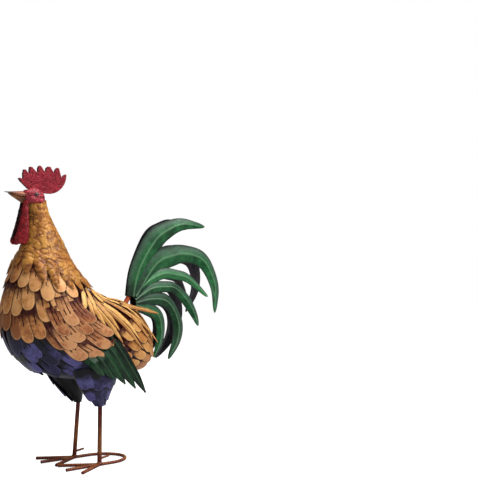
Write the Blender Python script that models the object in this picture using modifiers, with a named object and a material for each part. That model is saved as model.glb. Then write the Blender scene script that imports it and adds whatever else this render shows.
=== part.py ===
"""Sheet-metal garden rooster: a hollow beaten body covered with rows of tab
feathers, two stamped tail plates, rod legs and feet of ribbed bar joined by a
loop. It faces -X, and its own left side is at -Y. Metres, +Z up."""
import bpy
import bmesh
import numpy as np
from mathutils import Matrix, Vector

# Driving sizes, in metres. ROOT_LIFT is how far each row's roots stand off the
# surface below, and FACET_ALLOWANCE what two faceted rows need to stay apart.
HEIGHT = 0.533
SHEET = 0.0008
TAIL_SHEET = 0.0012
WING_PLATE = 0.0035
LEG_ROD = 0.008
TOE_BAR = 0.006
SPUR_ROD = 0.0045
WELD_RADIUS = 0.0066
WELD_HEIGHT = 0.009
TAIL_ROD = 0.006
SOCKET_WALL = 0.0015
SOCKET_LENGTH = 0.022
EYE_RADIUS = 0.0034
COMB_THICKNESS = 0.0065
SEAT_GAP = 0.0003
BODY_CLEARANCE = 0.0008
ROOT_LIFT = 0.0011
FACET_ALLOWANCE = 0.0015
SLIVER = 0.00001
ROD_CLEARANCE = 0.0003

# The free form is drawn in 533rds of the height, close to a millimetre each,
# measured from the floor midway between the legs.
UNIT = HEIGHT / 533

# Body sections from the throat to the rump: the top and bottom points of each
# in the middle plane, as (x, z), then the half width.
BODY_SECTIONS = [
    ((-90, 463), (-120, 461), 15),
    ((-79, 434), (-121, 428), 21),
    ((-61, 399), (-130, 385), 35),
    ((-48, 370), (-140, 357), 46),
    ((-37, 350), (-148, 335), 55),
    ((-25, 332), (-155, 312), 62),
    ((-10, 315), (-160, 288), 67),
    ((9, 302), (-161, 262), 71),
    ((30, 295), (-157, 236), 74),
    ((52, 291), (-143, 209), 75),
    ((75, 283), (-118, 184), 75),
    ((94, 270), (-85, 166), 74),
    ((109, 252), (-48, 155), 70),
    ((121, 232), (-5, 150), 63),
    ((127, 213), (42, 151), 51),
    ((127, 195), (80, 160), 35),
    ((119, 178), (109, 172), 8),
]
BODY_SIDES = 18

# Thigh sections from the body down to the leg: height, middle (x, out from the
# middle plane), half length, half width.
THIGH_SECTIONS = [
    (208, -16, 43, 42, 24),
    (186, -15, 44, 45, 26),
    (165, -13, 44, 42, 26),
    (145, -9, 43, 32, 22),
    (127, -5, 41, 20, 16),
    (113, 0, 39, 11, 10),
    (105, 3, 38, 7, 7),
]
THIGH_SIDES = 12

LEG_TOP = (3.5, 38, 104)
FOOT = (0, 43.4)
TOE_TIPS = {"middle": (-67.3, 44.9), "outer": (-57.8, 82.2), "inner": (-60.2, 2.8)}
LOOP_STRAIGHT = 28
LOOP_REACH = 75
LOOP_POINTS = 11
SPUR_HEIGHT = 14
SPUR_LENGTH = 15
SPUR_RISE = 2.5

# Tail feathers, top to bottom: the middle line as (x, z, width) and how far the
# tip stands out from the middle plane.
TAIL_FEATHERS = [
    ([(91, 303, 16), (106, 351, 30), (141, 409, 42), (170, 432, 34), (204, 445, 24), (253, 442, 4)], 25),
    ([(106, 310, 20), (145, 363, 40), (183, 381, 42), (216, 386, 35), (251, 377, 33), (271, 350, 27),
      (278, 313, 20), (265, 268, 4)], 45),
    ([(119, 318, 12), (160, 345, 20), (192, 344, 20), (220, 335, 17), (256, 300, 4)], 33),
    ([(108, 300, 14), (136, 316, 18), (169, 320, 20), (192, 317, 20), (215, 294, 22), (229, 265, 16),
      (234, 242, 4)], 30),
    ([(108, 291, 14), (139, 296, 20), (171, 293, 24), (191, 273, 22), (200, 243, 25), (192, 212, 20),
      (168, 179, 4)], 20),
    ([(108, 284, 12), (131, 277, 20), (153, 265, 24), (160, 242, 21), (155, 213, 16), (138, 183, 4)], 14),
]
TAIL_RIDGE = 5
TAIL_SPREAD_POWER = 2
FEATHER_STEP = 0.21
TAIL_ROD_FOOT = (77, 282)
TAIL_ROD_TOP = (100, 318)

# The neck cape: number and length of its fingers, and how far their notches and
# tips stand off the body.
CAPE_FINGERS = 16
CAPE_FINGER = 28
CAPE_NOTCH_LIFT = 4.4
CAPE_TIP_LIFT = 6.4

# Comb outline, as (x, z): the points and the valleys between them from front to
# back, then the lower edge from back to front.
COMB_TIPS = [(-141, 505), (-131, 522), (-120, 528), (-102, 532), (-84, 533), (-67, 532), (-51, 521)]
COMB_VALLEYS = [(-133, 505), (-122, 516), (-106, 520), (-91, 522), (-74, 523), (-59, 516)]
COMB_EDGE = [(-52, 510), (-57, 499), (-69, 489), (-80, 485), (-92, 485), (-103, 487), (-115, 488),
             (-125, 491), (-134, 497)]

HEAD_MIDDLE = (-112, 475)
HEAD_HALVES = (21, 15.5, 17.5)
HEAD_SEAT = 464.5
EYE_PLACE = (-114, 479)
# Beak sections from the head to the tip: x, top z, bottom z, half width.
UPPER_BEAK = [(-128, 484, 475.5, 7), (-139, 484, 476.5, 5.5), (-152, 482.5, 478, 3),
              (-168, 481.5, 480.5, 0.8)]
LOWER_BEAK = [(-128, 474.5, 463, 6), (-138, 475.2, 466.5, 4.5), (-149, 476.6, 472.5, 2.4),
              (-158, 477.8, 476.8, 0.7)]
# Wattle sections from the beak down: x, out from the middle plane, z, half length,
# half thickness. Their rear edges are turned outwards by WATTLE_TURN degrees.
WATTLE = [(-130.5, 7.4, 468, 4, 1), (-131.5, 7.4, 458, 6.5, 2.4), (-133.5, 8.5, 446, 8.5, 3.2),
          (-135.5, 10, 426, 10.5, 4), (-138.5, 11, 409, 13, 4.5), (-141, 11.5, 399, 13.5, 4),
          (-141.5, 11.5, 391.5, 9, 1.8)]
WATTLE_TURN = 22

# Wing primaries: the line of roots and the line of tips, each from its top end
# to its bottom end as (x, out from the middle plane, z).
PRIMARY_ROOTS = ((13, 82.6, 227), (-47, 83.2, 188))
PRIMARY_TIPS = ((82, 85, 123), (-26, 81, 169))
PRIMARY_COUNT = 5
PRIMARY_RIDGE = 2.5

# Rows of feathers: the place of each tip on the left side, as (degrees round
# from the top, share of the body's length), from the middle line outwards.
BREAST_ROWS = [
    ([(168, 0.285), (148, 0.31), (129, 0.335), (112, 0.385), (95, 0.355), (80, 0.395)], 64),
    ([(172, 0.417), (155, 0.427), (138, 0.41), (121, 0.475), (104, 0.44)], 66),
    ([(172, 0.48), (159, 0.517), (146, 0.537), (133, 0.535), (123, 0.60)], 58),
]
BELLY_ROWS = [
    ([(172, 0.575), (156, 0.61), (141, 0.645), (128, 0.685)], 60),
    ([(168, 0.655), (152, 0.68)], 50),
]
WING_ROWS = [
    ([(84, 0.557), (95, 0.592), (106, 0.603), (117, 0.613)], 56),
    ([(84, 0.65), (96, 0.684), (109, 0.705), (119, 0.665)], 60),
]
THIGH_ROWS = [
    ([(48, 0.52), (77, 0.54), (106, 0.54), (136, 0.52)], 36),
    ([(30, 0.74), (70, 0.75), (110, 0.75), (150, 0.74)], 34),
    ([(28, 0.93), (72, 0.94), (116, 0.94), (160, 0.93)], 30),
]
# Rows over the rump: degrees to each side, number, tips' share of the body's
# length, and length. Rows of strips: angles of the tips to each side, which
# leave room for the tail's socket, their share, length, and how far they stand.
RUMP_ROWS = [(98, 7, 0.73, 27), (102, 7, 0.795, 34), (108, 7, 0.86, 36), (112, 5, 0.94, 32)]
STRIP_ROWS = [
    ("hackle_strips", (7, 21, 35, 49, 63), 0.485, 60, 6),
    ("saddle_strips_1", (7.5, 22.5, 37.5, 52.5, 67.5), 0.655, 88, 7.7),
    ("saddle_strips_2", (19, 32, 45, 58, 71), 0.79, 108, 8.2),
]
# Front edge of the wing's plate, as places on the body, and where it ends.
WING_FRONT = [(80, 0.475), (91, 0.445), (102, 0.45), (108, 0.485), (114, 0.545)]
WING_REAR = 0.645

# Feather shapes: how far up from the tip each cross line is, as a share of the
# length, and how wide it is, as a share of the feather's width.
ROUND_TIP = ((0.16, 0.84),)
POINTED_TIP = ((0.36, 0.62),)
SPLIT = 0.62


def mm_point(x, y, z):
    return np.array([x, y, z], float) * UNIT


def spline(rows, t):
    """Points at shares t along a smooth curve through rows."""
    rows = np.asarray(rows, float)
    last = len(rows) - 1
    place = np.clip(t, 0, 1) * last
    index = np.minimum(place.astype(int), last - 1)
    f = (place - index)[..., None]
    before, start, end, after = (rows[np.clip(index + k, 0, last)] for k in (-1, 0, 1, 2))
    return 0.5 * (2 * start + (end - before) * f
                  + (2 * before - 5 * start + 4 * end - after) * f ** 2
                  + (3 * start - before - 3 * end + after) * f ** 3)


def body_form(u, v):
    """The body's smooth form. u turns from the top over its left side, and v
    runs from the throat, 0, to the rump, 1."""
    u, v = np.broadcast_arrays(u, v)
    rows = spline([top + bottom + (half,) for top, bottom, half in BODY_SECTIONS], v) * UNIT
    top_x, top_z, bottom_x, bottom_z, half = np.moveaxis(rows, -1, 0)
    x = (top_x + bottom_x) / 2 + np.cos(u) * (top_x - bottom_x) / 2
    z = (top_z + bottom_z) / 2 + np.cos(u) * (top_z - bottom_z) / 2
    return np.stack([x, -np.sin(u) * half, z], -1)


def thigh_form(u, v):
    """The left thigh's form. u turns from its rear over its outer side, and v
    runs from the body, 0, to the leg, 1."""
    u, v = np.broadcast_arrays(u, v)
    z, x, out, half_length, half_width = np.moveaxis(spline(THIGH_SECTIONS, v) * UNIT, -1, 0)
    return np.stack([x + np.cos(u) * half_length, -out - np.sin(u) * half_width, z], -1)


def primary_form(u, v):
    """The left wing tip's sheet. u runs from its bottom, 0, to its top, 1, and v
    from the roots, 0, to the tips, 1."""
    u, v = np.broadcast_arrays(u, v)
    ends = []
    for top, bottom in (PRIMARY_ROOTS, PRIMARY_TIPS):
        high, low = (mm_point(x, -out, z) for x, out, z in (top, bottom))
        ends.append(high + (1 - u)[..., None] * (low - high))
    return ends[0] + v[..., None] * (ends[1] - ends[0])


def primary_length(u):
    return np.linalg.norm(primary_form(u, 1.0) - primary_form(u, 0.0))


def lifted(form, u, v, lift):
    """Points that stand off a form by lift, along its outward normal."""
    step = 1e-4
    across = form(u + step, v) - form(u - step, v)
    along = form(u, v + step) - form(u, v - step)
    normal = np.cross(across, along)
    normal /= np.linalg.norm(normal, axis=-1, keepdims=True)
    return form(u, v) + normal * np.asarray(lift)[..., None]


def up_from(form, u, v, distance):
    """The v at a distance up a form from v, measured along its surface."""
    line = np.linspace(0, v, 80)
    points = form(np.full_like(line, u), line)
    steps = np.linalg.norm(np.diff(points, axis=0), axis=1)
    left = np.concatenate([[0], np.cumsum(steps[::-1])])
    return np.interp(distance, left, line[::-1])


def add_object(name, bm, smooth=False):
    mesh = bpy.data.meshes.new(name)
    bm.to_mesh(mesh)
    bm.free()
    if smooth:
        mesh.shade_smooth()
        mesh.set_sharp_from_angle(angle=np.radians(40))
    obj = bpy.data.objects.new(name, mesh)
    PARTS.objects.link(obj)
    return obj


def add_modifier(obj, kind, **values):
    modifier = obj.modifiers.new(kind.title(), kind)
    for key, value in values.items():
        setattr(modifier, key, value)
    return modifier


def add_mirror_copy(obj, name):
    """The same piece on the other side of the middle plane."""
    bm = bmesh.new()
    bm.from_mesh(obj.data)
    bmesh.ops.scale(bm, vec=(1, -1, 1), verts=bm.verts)
    bmesh.ops.reverse_faces(bm, faces=bm.faces)
    copy = add_object(name, bm)
    for old in obj.modifiers:
        new = copy.modifiers.new(old.name, old.type)
        if old.type == "SOLIDIFY":
            new.thickness, new.offset = old.thickness, old.offset
        if old.type == "BOOLEAN":
            new.operation, new.object = old.operation, old.object
    return copy


def make_cutter(name, bm):
    """A hidden solid that trims pieces back to a seat."""
    obj = add_object(name, bm)
    PARTS.objects.unlink(obj)
    CUTTERS.objects.link(obj)
    obj.hide_render = True
    obj.display_type = "WIRE"
    return obj


def trim(obj, cutter):
    add_modifier(obj, "BOOLEAN", operation="DIFFERENCE", object=cutter)


def join_rings(rings):
    """A closed body through rings of points, capped at both ends."""
    bm = bmesh.new()
    loops = [[bm.verts.new(p) for p in ring] for ring in rings]
    for upper, lower in zip(loops, loops[1:]):
        for i in range(len(upper)):
            j = (i + 1) % len(upper)
            bm.faces.new((upper[i], upper[j], lower[j], lower[i]))
    bm.faces.new(loops[0][::-1])
    bm.faces.new(loops[-1])
    bmesh.ops.recalc_face_normals(bm, faces=bm.faces)
    return bm


def form_rings(form, sides, stations, lift=0.0):
    turn = np.linspace(0, 2 * np.pi, sides, endpoint=False)
    return [lifted(form, turn, np.full(sides, v), np.full(sides, lift)) for v in stations]


def tab_sheet(shared, own, tips, closed):
    """A sheet cut into tabs along its lower edge: shared rows of points run
    across all tabs, own rows belong to one tab each."""
    bm = bmesh.new()
    grid = [[bm.verts.new(p) for p in row] for row in shared]
    if closed:
        for row in grid:
            row.append(row[0])

    def fill(above, below):
        for i in range(len(above) - 1):
            bm.faces.new((above[i], above[i + 1], below[i + 1], below[i]))

    for above, below in zip(grid, grid[1:]):
        fill(above, below)
    for k, (rows, tip) in enumerate(zip(own, tips)):
        above = grid[-1][2 * k:2 * k + 3]
        for row in rows:
            below = [bm.verts.new(p) for p in row]
            fill(above, below)
            above = below
        end = bm.verts.new(tip)
        for i in range(2):
            bm.faces.new((above[i], above[i + 1], end))
    return bm


def feather_row(name, form, tips, length, lift, shape=ROUND_TIP, fill=0.94, ridge=0.0, sheet=SHEET):
    """A strip of feathers with a tip at each (angle, v) of tips. lift is the
    strip's height at its roots and at its tips, and ridge that of each fold."""
    turn, tip_v = np.array(sorted(tips)).T
    between = (turn[1:] + turn[:-1]) / 2
    edges = np.concatenate([[2 * turn[0] - between[0]], between, [2 * turn[-1] - between[-1]]])
    columns = np.empty(2 * len(turn) + 1)
    columns[::2], columns[1::2] = edges, turn
    ends = np.interp(columns, turn, tip_v)
    ridges = np.arange(len(columns)) % 2 * ridge
    root_lift, tip_lift = lift

    def height(share):
        return root_lift + (tip_lift - root_lift) * (1 - share)

    def row_v(u, v, share):
        return up_from(form, u, v, share * (length(u) if callable(length) else length))

    shared = []
    for share in (1.0, SPLIT):
        v = np.array([row_v(u, end, share) for u, end in zip(columns, ends)])
        shared.append(lifted(form, columns, v, height(share) + ridges))
    own = []
    for k, (u, v) in enumerate(zip(turn, tip_v)):
        half = min(edges[k + 1] - u, u - edges[k]) * fill
        own.append([lifted(form, u + half * width * np.array([-1, 0, 1]), np.full(3, row_v(u, v, share)),
                           height(share) + ridge * width * np.array([0, 1, 0])) for share, width in shape])
    points = lifted(form, turn, tip_v, np.full(len(turn), tip_lift))
    obj = add_object(name, tab_sheet(shared, own, points, closed=False))
    add_modifier(obj, "SOLIDIFY", thickness=sheet, offset=1.0)
    return obj


def one_side(places):
    return [(np.radians(degrees), v) for degrees, v in places]


def both_sides(places):
    return one_side(places) + [(2 * np.pi - u, v) for u, v in one_side(places)]


def across_back(side, count, v):
    middles = (np.arange(count) + 0.5) / count * 2 - 1
    return [(np.radians(side) * middle, v) for middle in middles]


def stand_off(overlap):
    """How much higher a row's tips stand than its roots, so that each row clears
    the next one: overlap is the share of its length that one row advances."""
    return (SHEET + FACET_ALLOWANCE) / overlap


def make_body():
    stations = np.linspace(0, 1, 17)
    obj = add_object("body_shell", join_rings(form_rings(body_form, BODY_SIDES, stations)), smooth=True)
    cutter = join_rings(form_rings(body_form, BODY_SIDES, stations, BODY_CLEARANCE))
    return make_cutter("body_seat_cutter", cutter)


def cape_edge(u):
    """Where the cape's fingers end, from low on the back to high on the breast."""
    return 0.385 - 0.17 * ((1 - np.cos(u)) / 2) ** 1.8


def make_neck_cape():
    """The beaten neck cone, cut into pointed fingers along its lower edge."""
    pitch = 2 * np.pi / CAPE_FINGERS
    length = CAPE_FINGER * UNIT
    edges = pitch / 2 * np.arange(-1, 2 * CAPE_FINGERS - 1)
    notch_v = np.array([up_from(body_form, u, cape_edge(u), length) for u in edges])
    edge_lift, tip_lift = CAPE_NOTCH_LIFT * UNIT, CAPE_TIP_LIFT * UNIT
    shared = [lifted(body_form, edges, notch_v * share,
                     np.full(len(edges), ROOT_LIFT + (edge_lift - ROOT_LIFT) * share))
              for share in (0, 0.5, 1)]
    own, tips = [], []
    for middle in pitch * np.arange(CAPE_FINGERS):
        u = middle + pitch / 2 * 0.6 * np.array([-1, 0, 1])
        v = np.full(3, up_from(body_form, middle, cape_edge(middle), length * 0.4))
        own.append([lifted(body_form, u, v, np.full(3, edge_lift + (tip_lift - edge_lift) * 0.6))])
        tips.append(lifted(body_form, middle, cape_edge(middle), tip_lift))
    obj = add_object("neck_cape", tab_sheet(shared, own, tips, closed=True), smooth=True)
    add_modifier(obj, "SOLIDIFY", thickness=SHEET, offset=1.0)


def make_breast_and_belly():
    lift = (ROOT_LIFT, ROOT_LIFT + stand_off(0.5))
    for family, rows in (("breast", BREAST_ROWS), ("belly", BELLY_ROWS)):
        for number, (places, length) in enumerate(rows, 1):
            feather_row(f"{family}_feathers_{number}", body_form, both_sides(places), length * UNIT, lift)


def make_rump():
    lift = (ROOT_LIFT, ROOT_LIFT + stand_off(0.62))
    for number, (side, count, tip_v, length) in enumerate(RUMP_ROWS, 1):
        feather_row(f"rump_feathers_{number}", body_form, across_back(side, count, tip_v),
                    length * UNIT, lift)


def make_saddle():
    """Long folded strips that fan out from the back of the neck."""
    for name, angles, tip_v, length, tip_lift in STRIP_ROWS:
        tips = [(np.radians(side * angle), tip_v) for angle in angles for side in (-1, 1)]
        feather_row(name, body_form, tips, length * UNIT, (ROOT_LIFT, tip_lift * UNIT),
                    shape=POINTED_TIP, fill=0.9, ridge=UNIT)


def make_wing():
    """A raised plate with two rows of coverts and the primaries, on each side."""
    turn = np.radians(np.array(WING_FRONT)[:, 0])
    front = np.array(WING_FRONT)[:, 1]
    bm = bmesh.new()
    grid = [[bm.verts.new(p) for p in lifted(body_form, turn, front + (WING_REAR - front) * share,
                                             np.full(len(turn), ROOT_LIFT))]
            for share in np.linspace(0, 1, 4)]
    for above, below in zip(grid, grid[1:]):
        for i in range(len(turn) - 1):
            bm.faces.new((above[i], above[i + 1], below[i + 1], below[i]))
    plate = add_object("wing_plate_left", bm)
    add_modifier(plate, "SOLIDIFY", thickness=WING_PLATE, offset=1.0)
    top = ROOT_LIFT + WING_PLATE + 3 * SEAT_GAP
    pieces = [plate]
    for number, (places, length) in enumerate(WING_ROWS, 1):
        pieces.append(feather_row(f"wing_coverts_{number}_left", body_form, one_side(places),
                                  length * UNIT, (top, top + stand_off(0.6))))
    tips = [((k + 0.5) / PRIMARY_COUNT, 1.0) for k in range(PRIMARY_COUNT)]
    pieces.append(feather_row("wing_primaries_left", primary_form, tips, primary_length, (0.0, 0.0),
                              shape=((0.42, 1.0), (0.16, 0.8)), fill=0.97, ridge=PRIMARY_RIDGE * UNIT,
                              sheet=TAIL_SHEET))
    for piece in pieces:
        add_mirror_copy(piece, piece.name.replace("left", "right"))


def make_thighs(body_cutter):
    stations = np.linspace(0, 1, 7)
    thigh = add_object("thigh_left", join_rings(form_rings(thigh_form, THIGH_SIDES, stations)), smooth=True)
    trim(thigh, body_cutter)
    add_mirror_copy(thigh, "thigh_right")
    lift = (ROOT_LIFT, ROOT_LIFT + stand_off(0.6))
    for number, (places, length) in enumerate(THIGH_ROWS, 1):
        row = feather_row(f"thigh_feathers_{number}_left", thigh_form, one_side(places), length * UNIT,
                          lift)
        add_mirror_copy(row, f"thigh_feathers_{number}_right")


def turned_frame(start, end):
    """A matrix that puts Z along the line from start to end, and X level."""
    axis = (Vector(end) - Vector(start)).normalized()
    side = axis.cross(Vector((0, 0, 1)))
    side = side.normalized() if side.length > 1e-6 else Vector((0, 1, 0))
    other = axis.cross(side)
    turn = Matrix((side, other, axis)).transposed().to_4x4()
    return Matrix.Translation((Vector(start) + Vector(end)) / 2) @ turn


def bar_mesh(start, end, width, sides=8):
    """A straight bar with a flat side down, width across its flats."""
    bm = bmesh.new()
    radius = width / 2 / np.cos(np.pi / sides)
    length = (Vector(end) - Vector(start)).length
    bmesh.ops.create_cone(bm, cap_ends=True, segments=sides, radius1=radius, radius2=radius, depth=length)
    bmesh.ops.rotate(bm, cent=(0, 0, 0), matrix=Matrix.Rotation(np.pi / sides, 3, "Z"), verts=bm.verts)
    bmesh.ops.transform(bm, matrix=turned_frame(start, end), verts=bm.verts)
    return bm


def make_bar(name, start, end, width, sides=8):
    return add_object(name, bar_mesh(start, end, width, sides), smooth=True)


def make_feet():
    foot_x, foot_out = (value * UNIT for value in FOOT)
    bar_height = TOE_BAR / 2
    for side, name in ((-1, "left"), (1, "right")):
        ankle = Vector((foot_x, side * foot_out, 0))
        knee = Vector((LEG_TOP[0], side * LEG_TOP[1], LEG_TOP[2])) * UNIT
        bm = bmesh.new()
        bmesh.ops.create_cone(bm, cap_ends=True, segments=10, radius1=WELD_RADIUS,
                              radius2=WELD_RADIUS * 0.62, depth=WELD_HEIGHT)
        bmesh.ops.translate(bm, vec=ankle + Vector((0, 0, WELD_HEIGHT / 2)), verts=bm.verts)
        add_object("foot_weld_" + name, bm)
        lift = Vector((0, 0, WELD_HEIGHT + 2 * SEAT_GAP))
        make_bar("leg_" + name, ankle + lift, knee - Vector((0, 0, SEAT_GAP)), LEG_ROD, 10)
        start = ankle + Vector((0, 0, bar_height))
        cutter = None
        for toe, (x, out) in TOE_TIPS.items():
            tip = Vector((x * UNIT, side * out * UNIT, bar_height))
            near = start + (tip - start).normalized() * (WELD_RADIUS + SEAT_GAP)
            bar = make_bar(f"toe_{toe}_{name}", near, tip, TOE_BAR)
            if cutter:
                trim(bar, cutter)
            else:
                cutter = make_cutter(f"toe_seat_cutter_{name}", bar_mesh(near, tip, TOE_BAR + 2 * SEAT_GAP))
        behind = ankle + Vector((LEG_ROD / 2 + 4 * SEAT_GAP, 0, SPUR_HEIGHT * UNIT))
        make_bar("spur_" + name, behind, behind + Vector((SPUR_LENGTH, 0, SPUR_RISE)) * UNIT, SPUR_ROD)


def make_base_loop():
    """The bar that runs back from one foot and round to the other."""
    out = FOOT[1] * UNIT
    start = WELD_RADIUS + SEAT_GAP
    turn = np.linspace(-np.pi / 2, np.pi / 2, LOOP_POINTS)
    path = [(start, -out)]
    path += [(LOOP_STRAIGHT * UNIT + (LOOP_REACH - LOOP_STRAIGHT) * UNIT * np.cos(a), out * np.sin(a))
             for a in turn]
    path.append((start, out))
    path = np.array(path)
    along = np.gradient(path, axis=0)
    along[0], along[-1] = (1, 0), (-1, 0)
    along /= np.linalg.norm(along, axis=1, keepdims=True)
    sides = 8
    radius = TOE_BAR / 2 / np.cos(np.pi / sides)
    rings = []
    for (x, y), (dx, dy) in zip(path, along):
        angle = (np.arange(sides) + 0.5) * 2 * np.pi / sides
        rings.append([(x + dy * radius * np.cos(a), y - dx * radius * np.cos(a),
                       TOE_BAR / 2 + radius * np.sin(a)) for a in angle])
    add_object("base_loop", join_rings(rings), smooth=True)


def beak_half(name, sections, cutter):
    """A folded sheet spike: a peaked top and a keeled underside."""
    rings = [[(x, 0, top), (x, half, (top + low) / 2), (x, half * 0.6, low), (x, -half * 0.6, low),
              (x, -half, (top + low) / 2)] for x, top, low, half in sections]
    rings = [[mm_point(*p) for p in ring] for ring in rings]
    trim(add_object(name, join_rings(rings)), cutter)


def head_mesh(grow):
    bm = bmesh.new()
    bmesh.ops.create_uvsphere(bm, u_segments=14, v_segments=9, radius=1)
    x, z = HEAD_MIDDLE
    halves = [half * UNIT + grow for half in HEAD_HALVES]
    bmesh.ops.scale(bm, vec=halves, verts=bm.verts)
    bmesh.ops.translate(bm, vec=mm_point(x, 0, z), verts=bm.verts)
    return bm


def make_head():
    bm = head_mesh(0)
    cut = bmesh.ops.bisect_plane(bm, geom=bm.verts[:] + bm.edges[:] + bm.faces[:],
                                 plane_co=(0, 0, HEAD_SEAT * UNIT), plane_no=(0, 0, -1), clear_outer=True)
    rim = [item for item in cut["geom_cut"] if isinstance(item, bmesh.types.BMEdge)]
    bmesh.ops.holes_fill(bm, edges=rim)
    bmesh.ops.recalc_face_normals(bm, faces=bm.faces)
    add_object("head", bm, smooth=True)
    cutter = make_cutter("head_seat_cutter", head_mesh(SEAT_GAP))
    make_comb(cutter)
    beak_half("beak_upper", UPPER_BEAK, cutter)
    beak_half("beak_lower", LOWER_BEAK, cutter)
    make_wattles(cutter)
    make_eyes(cutter)


def make_comb(cutter):
    outline = [COMB_TIPS[0]]
    for valley, tip in zip(COMB_VALLEYS, COMB_TIPS[1:]):
        outline += [valley, tip]
    outline += COMB_EDGE
    bm = bmesh.new()
    flat = bm.faces.new([bm.verts.new(mm_point(x, 0, z) - (0, COMB_THICKNESS / 2, 0)) for x, z in outline])
    made = bmesh.ops.extrude_face_region(bm, geom=[flat])
    verts = [item for item in made["geom"] if isinstance(item, bmesh.types.BMVert)]
    bmesh.ops.translate(bm, vec=(0, COMB_THICKNESS, 0), verts=verts)
    bmesh.ops.recalc_face_normals(bm, faces=bm.faces)
    trim(add_object("comb", bm), cutter)


def make_wattles(cutter):
    turn = np.linspace(0, 2 * np.pi, 8, endpoint=False)
    lean = np.radians(WATTLE_TURN)
    rings = []
    for x, out, z, half, thick in WATTLE:
        back, side = half * np.cos(turn), thick * np.sin(turn)
        rings.append([mm_point(*place) for place in zip(x + back * np.cos(lean) + side * np.sin(lean),
                                                        side * np.cos(lean) - back * np.sin(lean) - out,
                                                        np.full(len(turn), z))])
    left = add_object("wattle_left", join_rings(rings), smooth=True)
    trim(left, cutter)
    add_mirror_copy(left, "wattle_right")


def make_eyes(cutter):
    bm = bmesh.new()
    bmesh.ops.create_uvsphere(bm, u_segments=6, v_segments=4, radius=EYE_RADIUS)
    x, z = EYE_PLACE
    side = HEAD_HALVES[1] * np.sqrt(1 - ((x - HEAD_MIDDLE[0]) / HEAD_HALVES[0]) ** 2
                                    - ((z - HEAD_MIDDLE[1]) / HEAD_HALVES[2]) ** 2)
    bmesh.ops.translate(bm, vec=mm_point(x, -side, z), verts=bm.verts)
    left = add_object("eye_left", bm, smooth=True)
    trim(left, cutter)
    add_mirror_copy(left, "eye_right")


def sickle(points, tip_out, root_out):
    """One tail feather: a folded strip along its middle line, with the fold
    standing out."""
    points = np.array(points, float)
    path, width = points[:, :2] * UNIT, points[:, 2] * UNIT
    steps = np.linalg.norm(np.diff(path, axis=0), axis=1)
    share = np.concatenate([[0], np.cumsum(steps)]) / steps.sum()
    out = root_out + (tip_out * UNIT - root_out) * share ** TAIL_SPREAD_POWER
    along = np.gradient(path, axis=0)
    along /= np.linalg.norm(along, axis=1, keepdims=True)
    across = np.stack([-along[:, 1], along[:, 0]], 1)
    fold = TAIL_RIDGE * UNIT * np.minimum(1, width / width.max() * 1.5)
    bm = bmesh.new()
    rows = []
    for (x, z), (ax, az), half, y, ridge in zip(path, across, width / 2, out, fold):
        rows.append([bm.verts.new((x + ax * half * k, -(y + ridge * (1 - abs(k))), z + az * half * k))
                     for k in (1, 0, -1)])
    for near, far in zip(rows, rows[1:]):
        for i in range(2):
            bm.faces.new((near[i], near[i + 1], far[i + 1], far[i]))
    bm.normal_update()
    bmesh.ops.solidify(bm, geom=bm.faces[:], thickness=TAIL_SHEET)
    bmesh.ops.recalc_face_normals(bm, faces=bm.faces)
    return bm


def make_tail(body_cutter):
    root_out = TAIL_ROD / 2 + 2 * SEAT_GAP + TAIL_SHEET
    plate = None
    for k, (points, tip_out) in enumerate(TAIL_FEATHERS):
        bm = sickle(points, tip_out, root_out + k * FEATHER_STEP * UNIT)
        if plate is None:
            plate = add_object("tail_plate_left", bm)
            continue
        blade = make_cutter(f"tail_feather_{k + 1}", bm)
        add_modifier(plate, "BOOLEAN", operation="UNION", object=blade)
    join_modifiers(plate)
    add_mirror_copy(plate, "tail_plate_right")
    make_tail_socket(body_cutter)


def join_modifiers(obj):
    """Makes the evaluated shape the object's own mesh, without its slivers."""
    graph = bpy.context.evaluated_depsgraph_get()
    bm = bmesh.new()
    bm.from_mesh(bpy.data.meshes.new_from_object(obj.evaluated_get(graph)))
    bmesh.ops.triangulate(bm, faces=bm.faces)
    bmesh.ops.dissolve_degenerate(bm, dist=SLIVER, edges=bm.edges)
    obj.modifiers.clear()
    bm.to_mesh(obj.data)
    bm.free()


def make_tail_socket(body_cutter):
    foot = mm_point(TAIL_ROD_FOOT[0], 0, TAIL_ROD_FOOT[1])
    top = mm_point(TAIL_ROD_TOP[0], 0, TAIL_ROD_TOP[1])
    axis = (top - foot) / np.linalg.norm(top - foot)
    frame = turned_frame(foot, foot + axis * SOCKET_LENGTH)
    inner = TAIL_ROD / 2 + ROD_CLEARANCE
    outer = inner + SOCKET_WALL
    sides = 12
    turn = np.linspace(0, 2 * np.pi, sides, endpoint=False)
    half = SOCKET_LENGTH / 2

    def ring(radius, z):
        return [frame @ Vector((radius * np.cos(a), radius * np.sin(a), z)) for a in turn]

    bore_floor = half - SOCKET_LENGTH * 0.55
    bm = join_rings([ring(outer, -half), ring(outer, half), ring(inner, half), ring(inner, bore_floor)])
    trim(add_object("tail_socket", bm, smooth=True), body_cutter)
    rod_start = foot + axis * (half + bore_floor + SEAT_GAP)
    make_bar("tail_rod", rod_start, top, TAIL_ROD, 10)


def paint(node, colour, roughness, metallic=0.35):
    material = bpy.data.materials.new(node.name)
    material.use_nodes = True
    shader = material.node_tree.nodes["Principled BSDF"]
    shader.inputs["Base Color"].default_value = (*colour, 1)
    shader.inputs["Roughness"].default_value = roughness
    shader.inputs["Metallic"].default_value = metallic
    node.data.materials.append(material)


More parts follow.
